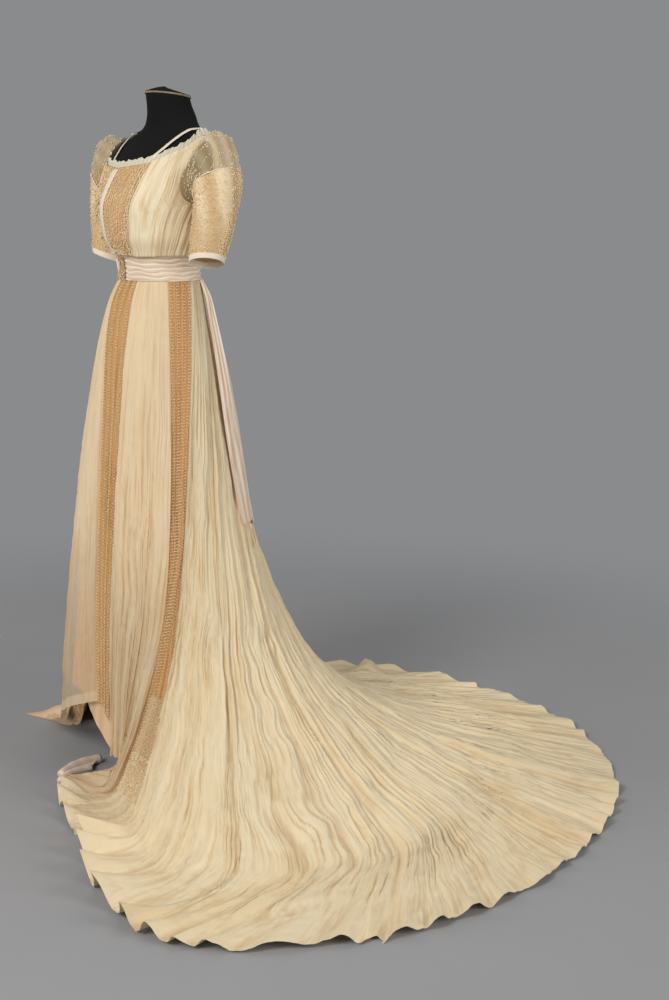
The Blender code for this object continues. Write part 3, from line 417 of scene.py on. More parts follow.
def bodice_surface(deg: Array, z: Array) -> Array:
    """The bodice's inner face.

    Args:
        deg: Directions in the garment's own angle, which the train pulls round.
        z: Heights.

    Returns:
        The points.
    """
    deg, z = np.broadcast_arrays(np.asarray(deg, float), np.asarray(z, float))
    deg = np.where(np.abs(deg) > 180.5, (deg + 180) % 360 - 180, deg)
    turned = deg + curve(BODICE_TWIST, z) * ease_in((TWIST_END_DEG - np.abs(deg)) / TWIST_FADE_DEG)
    front, side, back = (through(column(BODICE_EASE, "z"), column(BODICE_EASE, name), z)
                         for name in ("front", "side", "back"))
    facing = np.cos(np.radians(turned))
    ease = side + (np.where(facing > 0, front, back) - side) * facing ** 2
    return raised(form_point(turned, z), form_normal(turned, z), ease)


def bodice_z(deg: Array, v: Array) -> Array:
    """The height of a row of the bodice, whose first rows are level under the belt.

    Args:
        deg: Directions.
        v: Shares from the bodice's foot to its neckline.

    Returns:
        The heights.
    """
    tucked = BODICE_FOOT_Z + v / TUCKED * (TUCK_Z - BODICE_FOOT_Z)
    free = TUCK_Z + (v - TUCKED) / (1 - TUCKED) * (neckline_z(deg) - TUCK_Z)
    return np.where(v < TUCKED, tucked, free)


def armhole_half_deg(z: Array) -> Array:
    """Half the angle that the armhole takes.

    Args:
        z: Heights.

    Returns:
        Degrees, 0 above and below the armhole.
    """
    rise = np.clip((z - ARMHOLE_Z) / ARMHOLE_HALF_HEIGHT, -1, 1)
    depth = ARMHOLE_HALF_DEPTH * np.sqrt(1 - rise * rise)
    return np.degrees(np.arctan2(depth, form_point(90, z)[..., 0])) * ARMHOLE_WIDEN


def belt_surface(deg: Array, v: Array) -> Array:
    """The belt's inner face in directions deg, at shares v of its height."""
    base = form_point(deg, BELT_FOOT_Z + v * (BELT_TOP_Z - BELT_FOOT_Z))
    return raised(base, unit(base * np.array([1.0, 1.0, 0.0])), BELT_GAP)


def ring_point(turn: Array, along: Array) -> Array:
    """Points of the left sleeve by its table of rings.

    Args:
        turn: Angles round the arm, from its outside.
        along: Places along the sleeve, in rings from the armhole.

    Returns:
        The points.
    """
    at = np.arange(len(SLEEVE))
    size = {name: through(at, column(SLEEVE, name), along) for name in Ring._fields}
    a = np.radians(turn)
    reach = np.abs(np.cos(a))
    is_outer = np.cos(a) > 0
    across_x = np.where(is_outer, size["outer_x"], size["inner_x"])
    across_z = np.where(is_outer, size["outer_z"], size["inner_z"])
    tilt = np.radians(size["tilt_front"])
    ahead = size["fore_aft"] * np.sin(a)
    return stack(size["x"] + across_x * reach, size["y"] - ahead * np.cos(tilt),
                 size["z"] + across_z * reach + ahead * np.sin(tilt))


def armhole_edge(turn: Array, side: int) -> Array:
    """Points just outside the bodice's armhole edge, as if on the wearer's left.

    Args:
        turn: Angles round the arm, from its outside.
        side: 1 for the left armhole and -1 for the right.

    Returns:
        The points.
    """
    a = np.radians(turn)
    side_z = ARMHOLE_Z + ARMHOLE_HALF_HEIGHT * np.cos(a)
    v = TUCKED + (1 - TUCKED) * (side_z - TUCK_Z) / (neckline_z(90) - TUCK_Z)
    depth = ARMHOLE_HALF_DEPTH * np.abs(np.sin(a))
    half = np.degrees(np.arctan2(depth, form_point(90, side_z)[..., 0])) * ARMHOLE_WIDEN
    deg = 90 - half * np.sign(np.sin(a))
    z = bodice_z(deg, v)
    edge = raised(bodice_surface(side * deg, z), form_normal(side * deg, z), ARMHOLE_GAP)
    return edge * np.array([side, 1, 1])


def sleeve_surface(turn: Array, along: Array, side: int) -> Array:
    """The sleeve's inner face, drawn to the armhole in its first ring's length.

    Args:
        turn: Angles round the arm, from its outside.
        along: Places along the sleeve, in rings from the armhole.
        side: 1 for the left sleeve and -1 for the right.

    Returns:
        The points.
    """
    turn, along = np.broadcast_arrays(np.asarray(turn, float), np.asarray(along, float))
    away = armhole_edge(turn, side) - ring_point(turn, np.zeros_like(along))
    return raised(ring_point(turn, along), away, np.clip(1 - along, 0, 1) ** 2) * np.array([side, 1, 1])


def train_share(deg: Array) -> Array:
    """How much of the train's sweep a direction takes."""
    deg = np.asarray(deg, float) % 360
    return soft_step(deg, *TRAIN_STARTS_DEG) * (1 - soft_step(deg, *TRAIN_ENDS_DEG))


def skirt_reach(deg: Array, z: Array, hem_reach: Array | float = 10.0) -> Array:
    """How far the skirt stands from the axis.

    Args:
        deg: Directions.
        z: Heights.
        hem_reach: How far the hem reaches there, which the train's sweep stays within.

    Returns:
        The distances.
    """
    waist = form_point(deg, WAIST_Z)
    start = np.hypot(waist[..., 0], waist[..., 1]) + SKIRT_EASE
    drop = np.maximum(0.0, WAIST_Z - z)
    front = start + FRONT_FLARE * drop ** FRONT_ROUNDING
    back = start + TRAIN_FLARE * drop
    share = train_share(deg)
    room = SWEEP_WITHIN * hem_reach - start - TRAIN_FLARE * WAIST_Z
    sweep = np.minimum(TRAIN_SWEEP * share, np.maximum(0.0, room))
    fade = np.exp(-z / SWEEP_FALL) - math.exp(-WAIST_Z / SWEEP_FALL)
    return front * (1 - share) + back * share + sweep * fade


def path_lengths(path: Array) -> Array:
    """How far along a path each of its points is."""
    return np.concatenate([[0.0], np.cumsum(np.linalg.norm(np.diff(path, axis=0), axis=1))])


def even(path: Array) -> Array:
    """The same path with evenly spaced points."""
    lengths = path_lengths(path)
    return along_path(path, lengths, np.linspace(0, lengths[-1], LINE_POINTS + 1))


def along_path(path: Array, lengths: Array, at: Array) -> Array:
    """Points of a path at given values of its lengths."""
    return np.stack([np.interp(at, lengths, values) for values in path.T], axis=-1)


def all_round(name: str) -> Array:
    """A column of angles of the guide lines, one turn back, as it is and one turn on."""
    return np.concatenate([column(GUIDES, name) + turn for turn in (-360, 0, 360)])


def skirt_lines(deg: Array) -> Array:
    """Lines of the skirt from waist to hem.

    Args:
        deg: The waist angle of each line.

    Returns:
        Evenly spaced points, one row of them for each line.
    """
    turning = ("hip", "knee", "shin", "foot", "hem")
    row = {name: through(all_round("waist"), all_round(name), deg) for name in turning}
    for name in ("hem_reach", "lift", "spread"):
        row[name] = through(all_round("waist"), np.tile(column(GUIDES, name), 3), deg)
    angles = np.stack([deg, row["hip"], row["knee"], row["shin"], row["foot"]])
    z = WAIST_Z + (row["lift"][:, None] - WAIST_Z) * np.linspace(0, 1, LINE_STEPS + 1)
    angle = through(WAIST_Z - np.array(STATION_Z), angles, WAIST_Z - z)
    fall = round_axis(skirt_reach(angle, z, row["hem_reach"][:, None]), angle, z)
    hem = round_axis(row["hem_reach"], row["hem"], row["lift"])
    lines = []
    for path, end, lay in zip(fall, hem, row["spread"]):
        if lay > 0.001:
            steps = np.arange(1, FLOOR_STEPS + 1)[:, None] / FLOOR_STEPS * lay
            path = np.concatenate([path, path[-1] + (end - path[-1]) * steps])
        lines.append(even(path))
    return np.array([even(path) for path in smoothed(np.array(lines), LINE_ROUNDS)])


def read_lines(lines: Array, v: Array) -> Array:
    """Points along lines at shares v of their length, one row of points for each line."""
    at = np.linspace(0, 1, lines.shape[1])
    return np.array([along_path(line, at, v) for line in lines])


def smoothed(grid: Array, rounds: int) -> Array:
    """A grid of points smoothed along its second axis, its end rows kept.

    Args:
        grid: The points.
        rounds: How many times they are smoothed.

    Returns:
        The new grid.
    """
    grid = grid.copy()
    for _ in range(rounds):
        grid[:, 1:-1] = (grid[:, :-2] + 2 * grid[:, 1:-1] + grid[:, 2:]) / 4
    return grid


def grid_normals(points: Array, closed: bool = False) -> Array:
    """The outward directions of a grid of points round the figure or a limb.

    Args:
        points: The grid.
        closed: Whether its last column meets its first.

    Returns:
        A vector of length 1 for each point.
    """
    if closed:
        along = np.roll(points, -1, axis=0) - np.roll(points, 1, axis=0)
    else:
        along = np.gradient(points, axis=0)
    return unit(np.cross(along, np.gradient(points, axis=1)))


def sampled(grid: Array, i: Array, j: Array) -> Array:
    """Values of a grid between its columns and rows.

    Args:
        grid: The values, columns first.
        i: Places across it, in columns.
        j: Places along it, in rows.

    Returns:
        One row of values for each place.
    """
    i = np.clip(i, 0, grid.shape[0] - 1.001)
    j = np.clip(j, 0, grid.shape[1] - 1.001)
    i0, j0 = i.astype(int), j.astype(int)
    a, b = (i - i0)[:, None], (j - j0)[:, None]
    return ((grid[i0, j0] * (1 - a) + grid[i0 + 1, j0] * a) * (1 - b)
            + (grid[i0, j0 + 1] * (1 - a) + grid[i0 + 1, j0 + 1] * a) * b)


def lifted(points: Array, normals: Array, i: Array, j: Array, lift: float) -> Array:
    """Places between a grid's columns i and rows j, lifted off it."""
    return sampled(points, i, j) + unit(sampled(normals, i, j)) * lift


def scattered(points: Array, normals: Array, count: int, seed: int, lift: float) -> Array:
    """Places spread at random over a grid of points, lifted off it.

    Args:
        points: The grid.
        normals: Its outward directions.
        count: How many places there are.
        seed: The seed of their spread.
        lift: How far they are lifted.

    Returns:
        The places.
    """
    rng = np.random.default_rng(seed)
    i = rng.uniform(0, points.shape[0] - 1.001, count)
    j = rng.uniform(0, points.shape[1] - 1.001, count)
    return lifted(points, normals, i, j, lift)


# Folds

def cloth_noise(x: Array, y: Array, seed: int) -> Array:
    """Smooth random values over a plane.

    Args:
        x: Places across, 1 apart for values that differ.
        y: Places along, likewise.
        seed: The seed of the values.

    Returns:
        Values from 0 to 1.
    """
    x, y = np.broadcast_arrays(x, y)
    table = np.random.default_rng(seed).random(NOISE_SIZE)
    x0, y0 = np.floor(x).astype(int), np.floor(y).astype(int)
    tx, ty = ease_in(x - x0), ease_in(y - y0)

    def row(j: Array) -> Array:
        """Values on the rows j of the table."""
        left, right = (table[i % NOISE_SIZE[0], j % NOISE_SIZE[1]] for i in (x0, x0 + 1))
        return left * (1 - tx) + right * tx

    return row(y0) * (1 - ty) + row(y0 + 1) * ty


@dataclass(frozen=True)
class Crinkles:
    """Irregular folds that keep about the same width while the cloth spreads out.

    Where the cloth gets wider, a fold dies out between new ones. run is how far, in
    metres, a fold goes before it changes.
    """

    seed: int
    run: float = 0.30
    sharp: float = 1.4
    first_count: int = 6
    levels: int = 7
    octave: float = 0.75

    def height(self, u: Array, v: Array, wide: Array, long: float, spacing: Array) -> Array:
        """Fold heights from 0 to 1.

        Args:
            u: Shares across the cloth.
            v: Shares down the cloth.
            wide: The cloth's width at each v, in metres.
            long: Its length, in metres.
            spacing: How far apart its folds are wanted at each v, in metres.

        Returns:
            The heights over the whole grid.
        """
        total, weights = 0.0, 1e-6
        for level in range(self.levels):
            count = self.first_count * 2 ** level
            misfit = np.log2(np.maximum(wide, 1e-4) / count / spacing)
            weight = np.exp(-(misfit / self.octave) ** 2)
            stray = cloth_noise(u * count * 0.35 + 17.3 * level, v * long / (self.run * 1.6),
                                self.seed + 40 + level)
            n = cloth_noise(u * count * 1.6 + 1.1 * stray, v * long / self.run + 3.7 * level,
                            self.seed + level)
            total = total + weight * (1 - np.abs(2 * n - 1)) ** self.sharp
            weights = weights + weight
        return total / weights


def seam_fade(u: Array, width: float = 0.03) -> Array:
    """1 across a panel and 0 at its two seams."""
    return ease_in(u / width) * ease_in((1 - u) / width)


def row_widths(points: Array) -> Array:
    """How wide a grid of points is along each of its rows."""
    return np.linalg.norm(np.diff(points, axis=0), axis=-1).sum(axis=0)[None, :]


def mean_length(points: Array) -> float:
    """How long a grid of points is down its columns, on average."""
    return float(np.linalg.norm(np.diff(points, axis=1), axis=-1).sum(axis=1).mean())


# Making meshes

def grid_piece(name: str, points: Array, closed: bool = False, mask: Array | float = 0.5,
               outward: bool = True, body: Array | float = 1.0) -> bpy.types.Object:
    """A sheet of cloth from a grid of points.

    Args:
        name: The piece's name.
        points: The points, columns first.
        closed: Whether the last column meets the first.
        mask: A value for each point, kept as the attribute "fold", which sets how much painted shade and
            painted highlight its colour takes.
        outward: Whether columns grow to the left seen from outside.
        body: How closely woven or doubled the cloth is at each point, kept as "body".

    Returns:
        The new object.
    """
    masks, bodies = (np.broadcast_to(values, points.shape[:2]) for values in (mask, body))
    if closed:
        points, masks, bodies = (np.concatenate([grid, grid[:1]]) for grid in (points, masks, bodies))
    columns, rows = points.shape[:2]
    bm = bmesh.new()
    bm.loops.layers.uv.new("UVMap")
    bmesh.ops.create_grid(bm, x_segments=columns - 1, y_segments=rows - 1, size=0.5, calc_uvs=True)
    fold_layer = bm.verts.layers.float.new("fold")
    body_layer = bm.verts.layers.float.new("body")
    for vert in bm.verts:
        i = round((vert.co.x + 0.5) * (columns - 1))
        j = round((vert.co.y + 0.5) * (rows - 1))
        vert.co = points[i, j]
        vert[fold_layer] = masks[i, j]
        vert[body_layer] = bodies[i, j]
    if closed:
        bmesh.ops.remove_doubles(bm, verts=bm.verts, dist=0.00001)
    if not outward:
        bmesh.ops.reverse_faces(bm, faces=bm.faces)
    return finish_mesh(name, bm)


def finish_mesh(name: str, bm: bmesh.types.BMesh, smooth: bool = True) -> bpy.types.Object:
    """Turns a bmesh into an object of the scene, named apart from the solid that it stands for.

    Args:
        name: The piece's name.
        bm: Its bmesh, which is freed.
        smooth: Whether its faces are shaded smooth.

    Returns:
        The new object.
    """
    name = f"{name}_cloth" if name in bpy.data.objects else name
    mesh = bpy.data.meshes.new(name)
    bm.to_mesh(mesh)
    bm.free()
    if smooth:
        mesh.shade_smooth()
    part = bpy.data.objects.new(name, mesh)
    bpy.context.scene.collection.objects.link(part)
    return part


def thicken(part: bpy.types.Object, thickness: float) -> None:
    """Gives a sheet of satin a wall, with a rim, on its inner side."""
    wall = part.modifiers.new("wall", "SOLIDIFY")
    wall.thickness, wall.offset = thickness, -1.0


def close_ends(bm: bmesh.types.BMesh) -> None:
    """Fills the open rings of a round piece."""
    bmesh.ops.holes_fill(bm, edges=[edge for edge in bm.edges if edge.is_boundary], sides=0)
    bmesh.ops.recalc_face_normals(bm, faces=bm.faces)


def face_up(bm: bmesh.types.BMesh) -> None:
    """Turns a sheet's faces upwards.

    Args:
        bm: The sheet's mesh.
    """
    bm.normal_update()
    if sum(face.normal.z for face in bm.faces) < 0:
        bmesh.ops.reverse_faces(bm, faces=bm.faces)


def rework(part: bpy.types.Object, change: Callable[[bmesh.types.BMesh], None]) -> None:
    """Changes a finished piece's mesh.

    Args:
        part: The piece.
        change: What is done to its mesh.
    """
    bm = bmesh.new()
    bm.from_mesh(part.data)
    change(bm)
    bm.to_mesh(part.data)
    bm.free()


def tube_piece(name: str, path: Array, radius: Array | float, sides: int = 10) -> bpy.types.Object:
    """A soft tube along a path, closed at its ends.

    Args:
        name: The piece's name.
        path: The points of its middle line.
        radius: How thick it is, in all or at each point.
        sides: How many sides it has.

    Returns:
        The new object.
    """
    along = unit(np.gradient(path, axis=0))
    across = unit(np.cross(along, np.array([0.0, 0.0, 1.0]) + 1e-6))
    up = np.cross(across, along)
    turn = np.linspace(0, 2 * np.pi, sides, endpoint=False)
    ring = (across[None] * np.cos(turn)[:, None, None] + up[None] * np.sin(turn)[:, None, None])
    points = path[None] + ring * np.broadcast_to(radius, path.shape[:1])[None, :, None]
    part = grid_piece(name, points, closed=True, mask=0.95)
    rework(part, close_ends)
    return part


class BeadShape(Enum):
    """How finely a bead is made: the node that makes it and what that node is given."""

    ROUND = ("GeometryNodeMeshIcoSphere", {"Subdivisions": 1, "Radius": 1.0})
    SMALL = ("GeometryNodeMeshUVSphere", {"Segments": 4, "Rings": 2, "Radius": 1.15})


def fill(tree: bpy.types.NodeTree, node: bpy.types.Node, inputs: dict) -> None:
    """Gives a node what its inputs need.

    Args:
        tree: The node tree.
        node: The node.
        inputs: A value, or the output to link from, for each input's name or place.
    """
    for label, given in inputs.items():
        if isinstance(given, bpy.types.NodeSocket):
            tree.links.new(given, node.inputs[label])
        else:
            node.inputs[label].default_value = given


def add_node(tree: bpy.types.NodeTree, kind: str, inputs: dict | None = None,
             **settings: object) -> bpy.types.Node:
    """Adds a node to a tree.

    Args:
        tree: The node tree.
        kind: The node's type.
        inputs: A value, or the output to link from, for each input's name or place.
        settings: The node's own settings.

    Returns:
        The new node.
    """
    node = tree.nodes.new(kind)
    for setting, value in settings.items():
        setattr(node, setting, value)
    fill(tree, node, inputs or {})
    return node


def bead_nodes(shape: BeadShape) -> bpy.types.GeometryNodeTree:
    """The node tree that puts one bead on each point of a mesh.

    Args:
        shape: How finely each bead is made.

    Returns:
        The node tree.
    """
    tree = bpy.data.node_groups.new(f"sew_{shape.name.lower()}_beads", "GeometryNodeTree")
    for end in ("INPUT", "OUTPUT"):
        tree.interface.new_socket("Geometry", in_out=end, socket_type="NodeSocketGeometry")
    source = add_node(tree, "NodeGroupInput")
    points = add_node(tree, "GeometryNodeMeshToPoints", {"Mesh": source.outputs[0]})
    bead = add_node(tree, *shape.value)
    size = add_node(tree, "GeometryNodeInputNamedAttribute", {"Name": "size"}, data_type="FLOAT")
    place = add_node(tree, "GeometryNodeInstanceOnPoints", {
        "Points": points.outputs[0], "Instance": bead.outputs["Mesh"], "Scale": size.outputs["Attribute"]})
    real = add_node(tree, "GeometryNodeRealizeInstances", {0: place.outputs[0]})
    add_node(tree, "NodeGroupOutput", {0: real.outputs[0]})
    return tree


def bead_piece(name: str, centres: Array, sizes: Array,
               shape: BeadShape = BeadShape.SMALL) -> bpy.types.Object:
    """Beads sewn on at the given places, as one mesh.

    Args:
        name: The piece's name.
        centres: Where the beads are.
        sizes: Their radii.
        shape: How finely each bead is made.

    Returns:
        The new object.
    """
    bm = bmesh.new()
    size_layer = bm.verts.layers.float.new("size")
    for centre in centres:
        bmesh.ops.create_vert(bm, co=Vector(centre))
    for vert, size in zip(bm.verts, sizes):
        vert[size_layer] = size
    points = finish_mesh(name + "_points", bm, smooth=False)
    tree = bpy.data.node_groups.get(f"sew_{shape.name.lower()}_beads") or bead_nodes(shape)
    points.modifiers.new("beads", "NODES").node_group = tree
    ready = points.evaluated_get(bpy.context.evaluated_depsgraph_get())
    mesh = bpy.data.meshes.new_from_object(ready)
    mesh.name = name
    mesh.shade_smooth()
    part = bpy.data.objects.new(f"{name}_beads" if name in bpy.data.objects else name, mesh)
    bpy.context.scene.collection.objects.link(part)
    bpy.data.objects.remove(points)
    return part


# Finishes

def srgb(red: float, green: float, blue: float) -> Colour:
    """A colour in the renderer's own scale, from its parts as the eye reads them, 0 to 255."""
    parts = (value / 255 for value in (red, green, blue))
    return tuple(part / 12.92 if part <= 0.04045 else ((part + 0.055) / 1.055) ** 2.4 for part in parts)


class Socket(Enum):
    """The kinds of socket that the finishes' groups use."""

    COLOUR = "NodeSocketColor"
    VALUE = "NodeSocketFloat"
    VECTOR = "NodeSocketVector"


def new_group(name: str, inputs: dict[str, Socket], outputs: dict[str, Socket]) -> tuple:
    """A new shader node group.

    Args:
        name: The group's name.
        inputs: Its input sockets and their kinds.
        outputs: Its output sockets and their kinds.

    Returns:
        The group, the outputs of its input node and its output node.
    """
    tree = bpy.data.node_groups.new(name, "ShaderNodeTree")
    for end, sockets in (("INPUT", inputs), ("OUTPUT", outputs)):
        for label, kind in sockets.items():
            tree.interface.new_socket(label, in_out=end, socket_type=kind.value)
    return tree, tree.nodes.new("NodeGroupInput").outputs, tree.nodes.new("NodeGroupOutput")


def crinkle_group() -> bpy.types.ShaderNodeTree:
    """Long fine crinkles, finer thread and soft blotches over a piece's own coordinates.

    Returns:
        The node group.
    """
    tree, given, result = new_group(
        "cloth_crinkle",
        {"Vector": Socket.VECTOR, "Across": Socket.VALUE, "Along": Socket.VALUE, "Thread": Socket.VALUE},
        {"Height": Socket.VALUE, "Blotch": Socket.VALUE})
    scale = add_node(tree, "ShaderNodeCombineXYZ", {"X": given["Across"], "Y": given["Along"], "Z": 1.0})
    stretched = add_node(tree, "ShaderNodeVectorMath", {0: given["Vector"], 1: scale.outputs[0]},
                         operation="MULTIPLY")
    crinkle = add_node(tree, "ShaderNodeTexNoise", {
        "Vector": stretched.outputs[0], "Scale": 1.0, "Detail": 3.0, "Distortion": 0.6})
    thread = add_node(tree, "ShaderNodeTexNoise", {
        "Vector": given["Vector"], "Scale": given["Thread"], "Detail": 1.0})
    both = add_node(tree, "ShaderNodeMath", {0: thread.outputs["Fac"], 1: 0.25, 2: crinkle.outputs["Fac"]},
                    operation="MULTIPLY_ADD")
    blotch = add_node(tree, "ShaderNodeTexNoise", {"Vector": given["Vector"], "Scale": 5.0, "Detail": 4.0})
    fill(tree, result, {"Height": both.outputs[0], "Blotch": blotch.outputs["Fac"]})
    return tree


def fold_colour_group() -> bpy.types.ShaderNodeTree:
    """Cloth with painted shade, darker and warmer, low in its folds and crinkles and a painted highlight,
    paler, high on them, with soft age stains.

    Returns:
        The node group.
    """
    tree, given, result = new_group(
        "fold_colour",
        {"Fold": Socket.VALUE, "Crinkle": Socket.VALUE, "Blotch": Socket.VALUE, "Valley": Socket.COLOUR,
         "Ridge": Socket.COLOUR, "Stain": Socket.COLOUR},
        {"Color": Socket.COLOUR})
    # Low in a fold or crinkle the colour goes to the painted shade, high on it to the painted highlight
    height = add_node(tree, "ShaderNodeMath", {0: given["Crinkle"], 1: 0.9, 2: given["Fold"]},
                      operation="MULTIPLY_ADD")
    ridge = add_node(tree, "ShaderNodeMapRange", {
        "Value": height.outputs[0], "From Min": 0.35, "From Max": 1.25})
    cloth = add_node(tree, "ShaderNodeMix", {
        "Factor": ridge.outputs["Result"], "A": given["Valley"], "B": given["Ridge"]}, data_type="RGBA")
    worn = add_node(tree, "ShaderNodeMapRange", {
        "Value": given["Blotch"], "From Min": 0.50, "From Max": 0.80, "To Max": 0.45})
    stained = add_node(tree, "ShaderNodeMix", {
        "Factor": worn.outputs["Result"], "A": cloth.outputs["Result"], "B": given["Stain"]},
        data_type="RGBA")
    fill(tree, result, {"Color": stained.outputs["Result"]})
    return tree


def new_finish(name: str) -> tuple[bpy.types.Material, bpy.types.NodeTree, bpy.types.Node]:
    """A new material with its node tree and its shader.

    Args:
        name: The material's name.

    Returns:
        The material, the tree and the shader's node.
    """
    finish = bpy.data.materials.new(name)
    finish.use_nodes = True
    return finish, finish.node_tree, finish.node_tree.nodes["Principled BSDF"]


@dataclass(frozen=True)
class ClothFinish:
    """A woven finish that follows a piece's own UV map and folds, painted with shade low in the folds and a
    highlight high on them.
    """

    name: str
    # The cloth's own colour lies between the next two: the paler is a painted highlight on fold crests, the
    # darker painted shade in fold hollows
    ridge: Colour
    valley: Colour
    stain: Colour
    roughness: float = 0.75
    alpha: float = 1.0
    sheerest: float = 1.0
    across: float = 60.0
    along: float = 6.0
    thread: float = 500.0
    relief: float = 0.5
    depth: float = 0.0015
    specular: float = 0.12

    def cover(self, tree: bpy.types.NodeTree) -> bpy.types.NodeSocket | float:
        """How much the cloth hides of what lies under it, less where it isn't doubled.

        Args:
            tree: The material's node tree.

        Returns:
            One value for all of it, or the output that gives it.
        """
        if self.sheerest == self.alpha:
            return self.alpha
        body = add_node(tree, "ShaderNodeAttribute", attribute_name="body")
        ranged = add_node(tree, "ShaderNodeMapRange", {
            "Value": body.outputs["Fac"], "To Min": self.sheerest, "To Max": self.alpha})
        return ranged.outputs["Result"]

    def make(self) -> bpy.types.Material:
        """Builds the material.

        Returns:
            The material.
        """
        finish, tree, shader = new_finish(self.name)
        fill(tree, shader, {"Roughness": self.roughness, "Specular IOR Level": self.specular,
                            "Alpha": self.cover(tree)})
        place = add_node(tree, "ShaderNodeTexCoord")
        crinkle = add_node(tree, "ShaderNodeGroup", {
            "Vector": place.outputs["UV"], "Across": self.across, "Along": self.along,
            "Thread": self.thread}, node_tree=bpy.data.node_groups.get("cloth_crinkle") or crinkle_group())
        fold = add_node(tree, "ShaderNodeAttribute", attribute_name="fold")
        colour = add_node(tree, "ShaderNodeGroup", {
            "Fold": fold.outputs["Fac"], "Crinkle": crinkle.outputs["Height"],
            "Blotch": crinkle.outputs["Blotch"], "Valley": (*self.valley, 1), "Ridge": (*self.ridge, 1),
            "Stain": (*self.stain, 1)},
            node_tree=bpy.data.node_groups.get("fold_colour") or fold_colour_group())
        bump = add_node(tree, "ShaderNodeBump", {
            "Height": crinkle.outputs["Height"], "Strength": self.relief, "Distance": self.depth})
        fill(tree, shader, {"Base Color": colour.outputs["Color"], "Normal": bump.outputs["Normal"]})
        return finish


@dataclass(frozen=True)
class PlainFinish:
    """A finish with speckled colour and fine grain over a piece's object coordinates."""

    name: str
    colour: Colour
    darker: Colour
    roughness: float
    grain: float = 300.0
    relief: float = 0.2
    specular: float = 0.5

    def make(self) -> bpy.types.Material:
        """Builds the material.

        Returns:
            The material.
        """
        finish, tree, shader = new_finish(self.name)
        place = add_node(tree, "ShaderNodeTexCoord")
        speckle = add_node(tree, "ShaderNodeTexNoise", {
            "Vector": place.outputs["Object"], "Scale": self.grain, "Detail": 4.0})
        mixed = add_node(tree, "ShaderNodeMix", {
            "Factor": speckle.outputs["Fac"], "A": (*self.darker, 1), "B": (*self.colour, 1)},
            data_type="RGBA")
        bump = add_node(tree, "ShaderNodeBump", {
            "Height": speckle.outputs["Fac"], "Strength": self.relief, "Distance": 0.0006})
        fill(tree, shader, {
            "Roughness": self.roughness, "Specular IOR Level": self.specular,
            "Base Color": mixed.outputs["Result"], "Normal": bump.outputs["Normal"]})
        return finish


STAIN = srgb(226, 190, 126)


class Finish(Enum):
    """Every finish of the dress and its form."""

    TRAIN = ClothFinish("train_chiffon", srgb(246, 228, 192), srgb(200, 152, 94), STAIN, across=90,
        along=14, relief=0.8, depth=0.0030)
    CHIFFON = ClothFinish("skirt_chiffon", srgb(246, 222, 184), srgb(206, 156, 102), STAIN, across=46,
        along=5, relief=0.45, alpha=0.97, sheerest=0.45)
    BODICE = ClothFinish("bodice_chiffon", srgb(255, 240, 206), srgb(214, 164, 104), STAIN, across=40,
        along=4, relief=0.35)
    BAND = ClothFinish("gold_bead_net", srgb(222, 172, 112), srgb(164, 110, 62), srgb(196, 144, 88),
        across=10, along=190, relief=0.8, depth=0.0025, thread=900)
    PANEL = ClothFinish("beaded_panel_net", srgb(238, 198, 146), srgb(194, 146, 96), srgb(214, 168, 116),
        across=10, along=190, relief=0.8, depth=0.0025, thread=900)
    LACE = ClothFinish("beaded_lace", srgb(242, 208, 158), srgb(178, 132, 88), srgb(214, 168, 116),
        across=40, along=40, relief=0.9, depth=0.0020)
    LINED = ClothFinish("lined_sleeve", srgb(255, 232, 192), srgb(216, 176, 126), srgb(238, 200, 150),
        across=50, along=40, relief=0.7)
    NET = ClothFinish("sleeve_silk_net", srgb(250, 228, 186), srgb(214, 182, 132), srgb(226, 198, 148),
        alpha=0.46, sheerest=0.46, across=160, along=160, relief=0.3)
    EDGING = ClothFinish("neck_net", srgb(255, 246, 224), srgb(236, 220, 190), srgb(246, 232, 204),
        alpha=0.80, sheerest=0.80, across=200, along=4, relief=0.4)
    SATIN = ClothFinish("ivory_satin", srgb(255, 240, 220), srgb(214, 168, 124), srgb(240, 208, 172),
        across=14, along=5, relief=0.35, roughness=0.40, specular=0.45)
    PEACH = ClothFinish("underskirt_satin", srgb(240, 204, 164), srgb(212, 164, 116), srgb(224, 184, 138),
        across=10, along=6, relief=0.35, roughness=0.42, specular=0.45)
    ROLLED = ClothFinish("rolled_satin", srgb(255, 230, 210), srgb(248, 204, 180), srgb(252, 216, 196),
        across=14, along=5, relief=0.35, roughness=0.42, specular=0.4)
    PEARL = PlainFinish("pearl_beads", srgb(255, 244, 214), srgb(238, 206, 156), 0.32, grain=900,
        specular=0.45)
    FORM = PlainFinish("black_jersey", (0.0125, 0.0125, 0.0135), (0.0065, 0.0065, 0.007), 0.92, grain=700,
        specular=0.15)
    RIM = PlainFinish("worn_paper_rim", srgb(196, 176, 140), srgb(96, 78, 58), 0.75, grain=70)
    METAL = PlainFinish("black_paint", (0.05, 0.05, 0.055), (0.03, 0.03, 0.033), 0.38, grain=220)

    def material(self) -> bpy.types.Material:
        """The finish's material, built the first time that it is asked for."""
        return bpy.data.materials.get(self.value.name) or self.value.make()


@dataclass(frozen=True)
class Cut:
    """The flat sheet that a piece of cloth is cut from."""

    width: float
    length: float
    held: str
    rests_on: tuple[str, ...]
    area: float | None = None


def dress(part: bpy.types.Object, finish: Finish, slot: str, nodes: Sequence[str] = (),
          cut: Cut | None = None) -> None:
    """Gives a piece its finish and ties it to the measured part.

    Args:
        part: The piece.
        finish: What it is made of.
        slot: The record's material slot; not used.
        nodes: The solids that it stands for.
        cut: Its flat sheet, where it is cloth that hangs or lies.
    """
    part.data.materials.clear()
    part.data.materials.append(finish.material())
    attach(part, "root")
    if nodes:
        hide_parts(*nodes)
    if cut is not None:
        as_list(cut.rests_on)
    triangles = sum(len(face.vertices) - 2 for face in part.data.polygons)
    area = sum(face.area for face in part.data.polygons)
    LOG.info("%s: %d triangles, %.3f square metres, %s", part.name, triangles, area, finish.value.name)


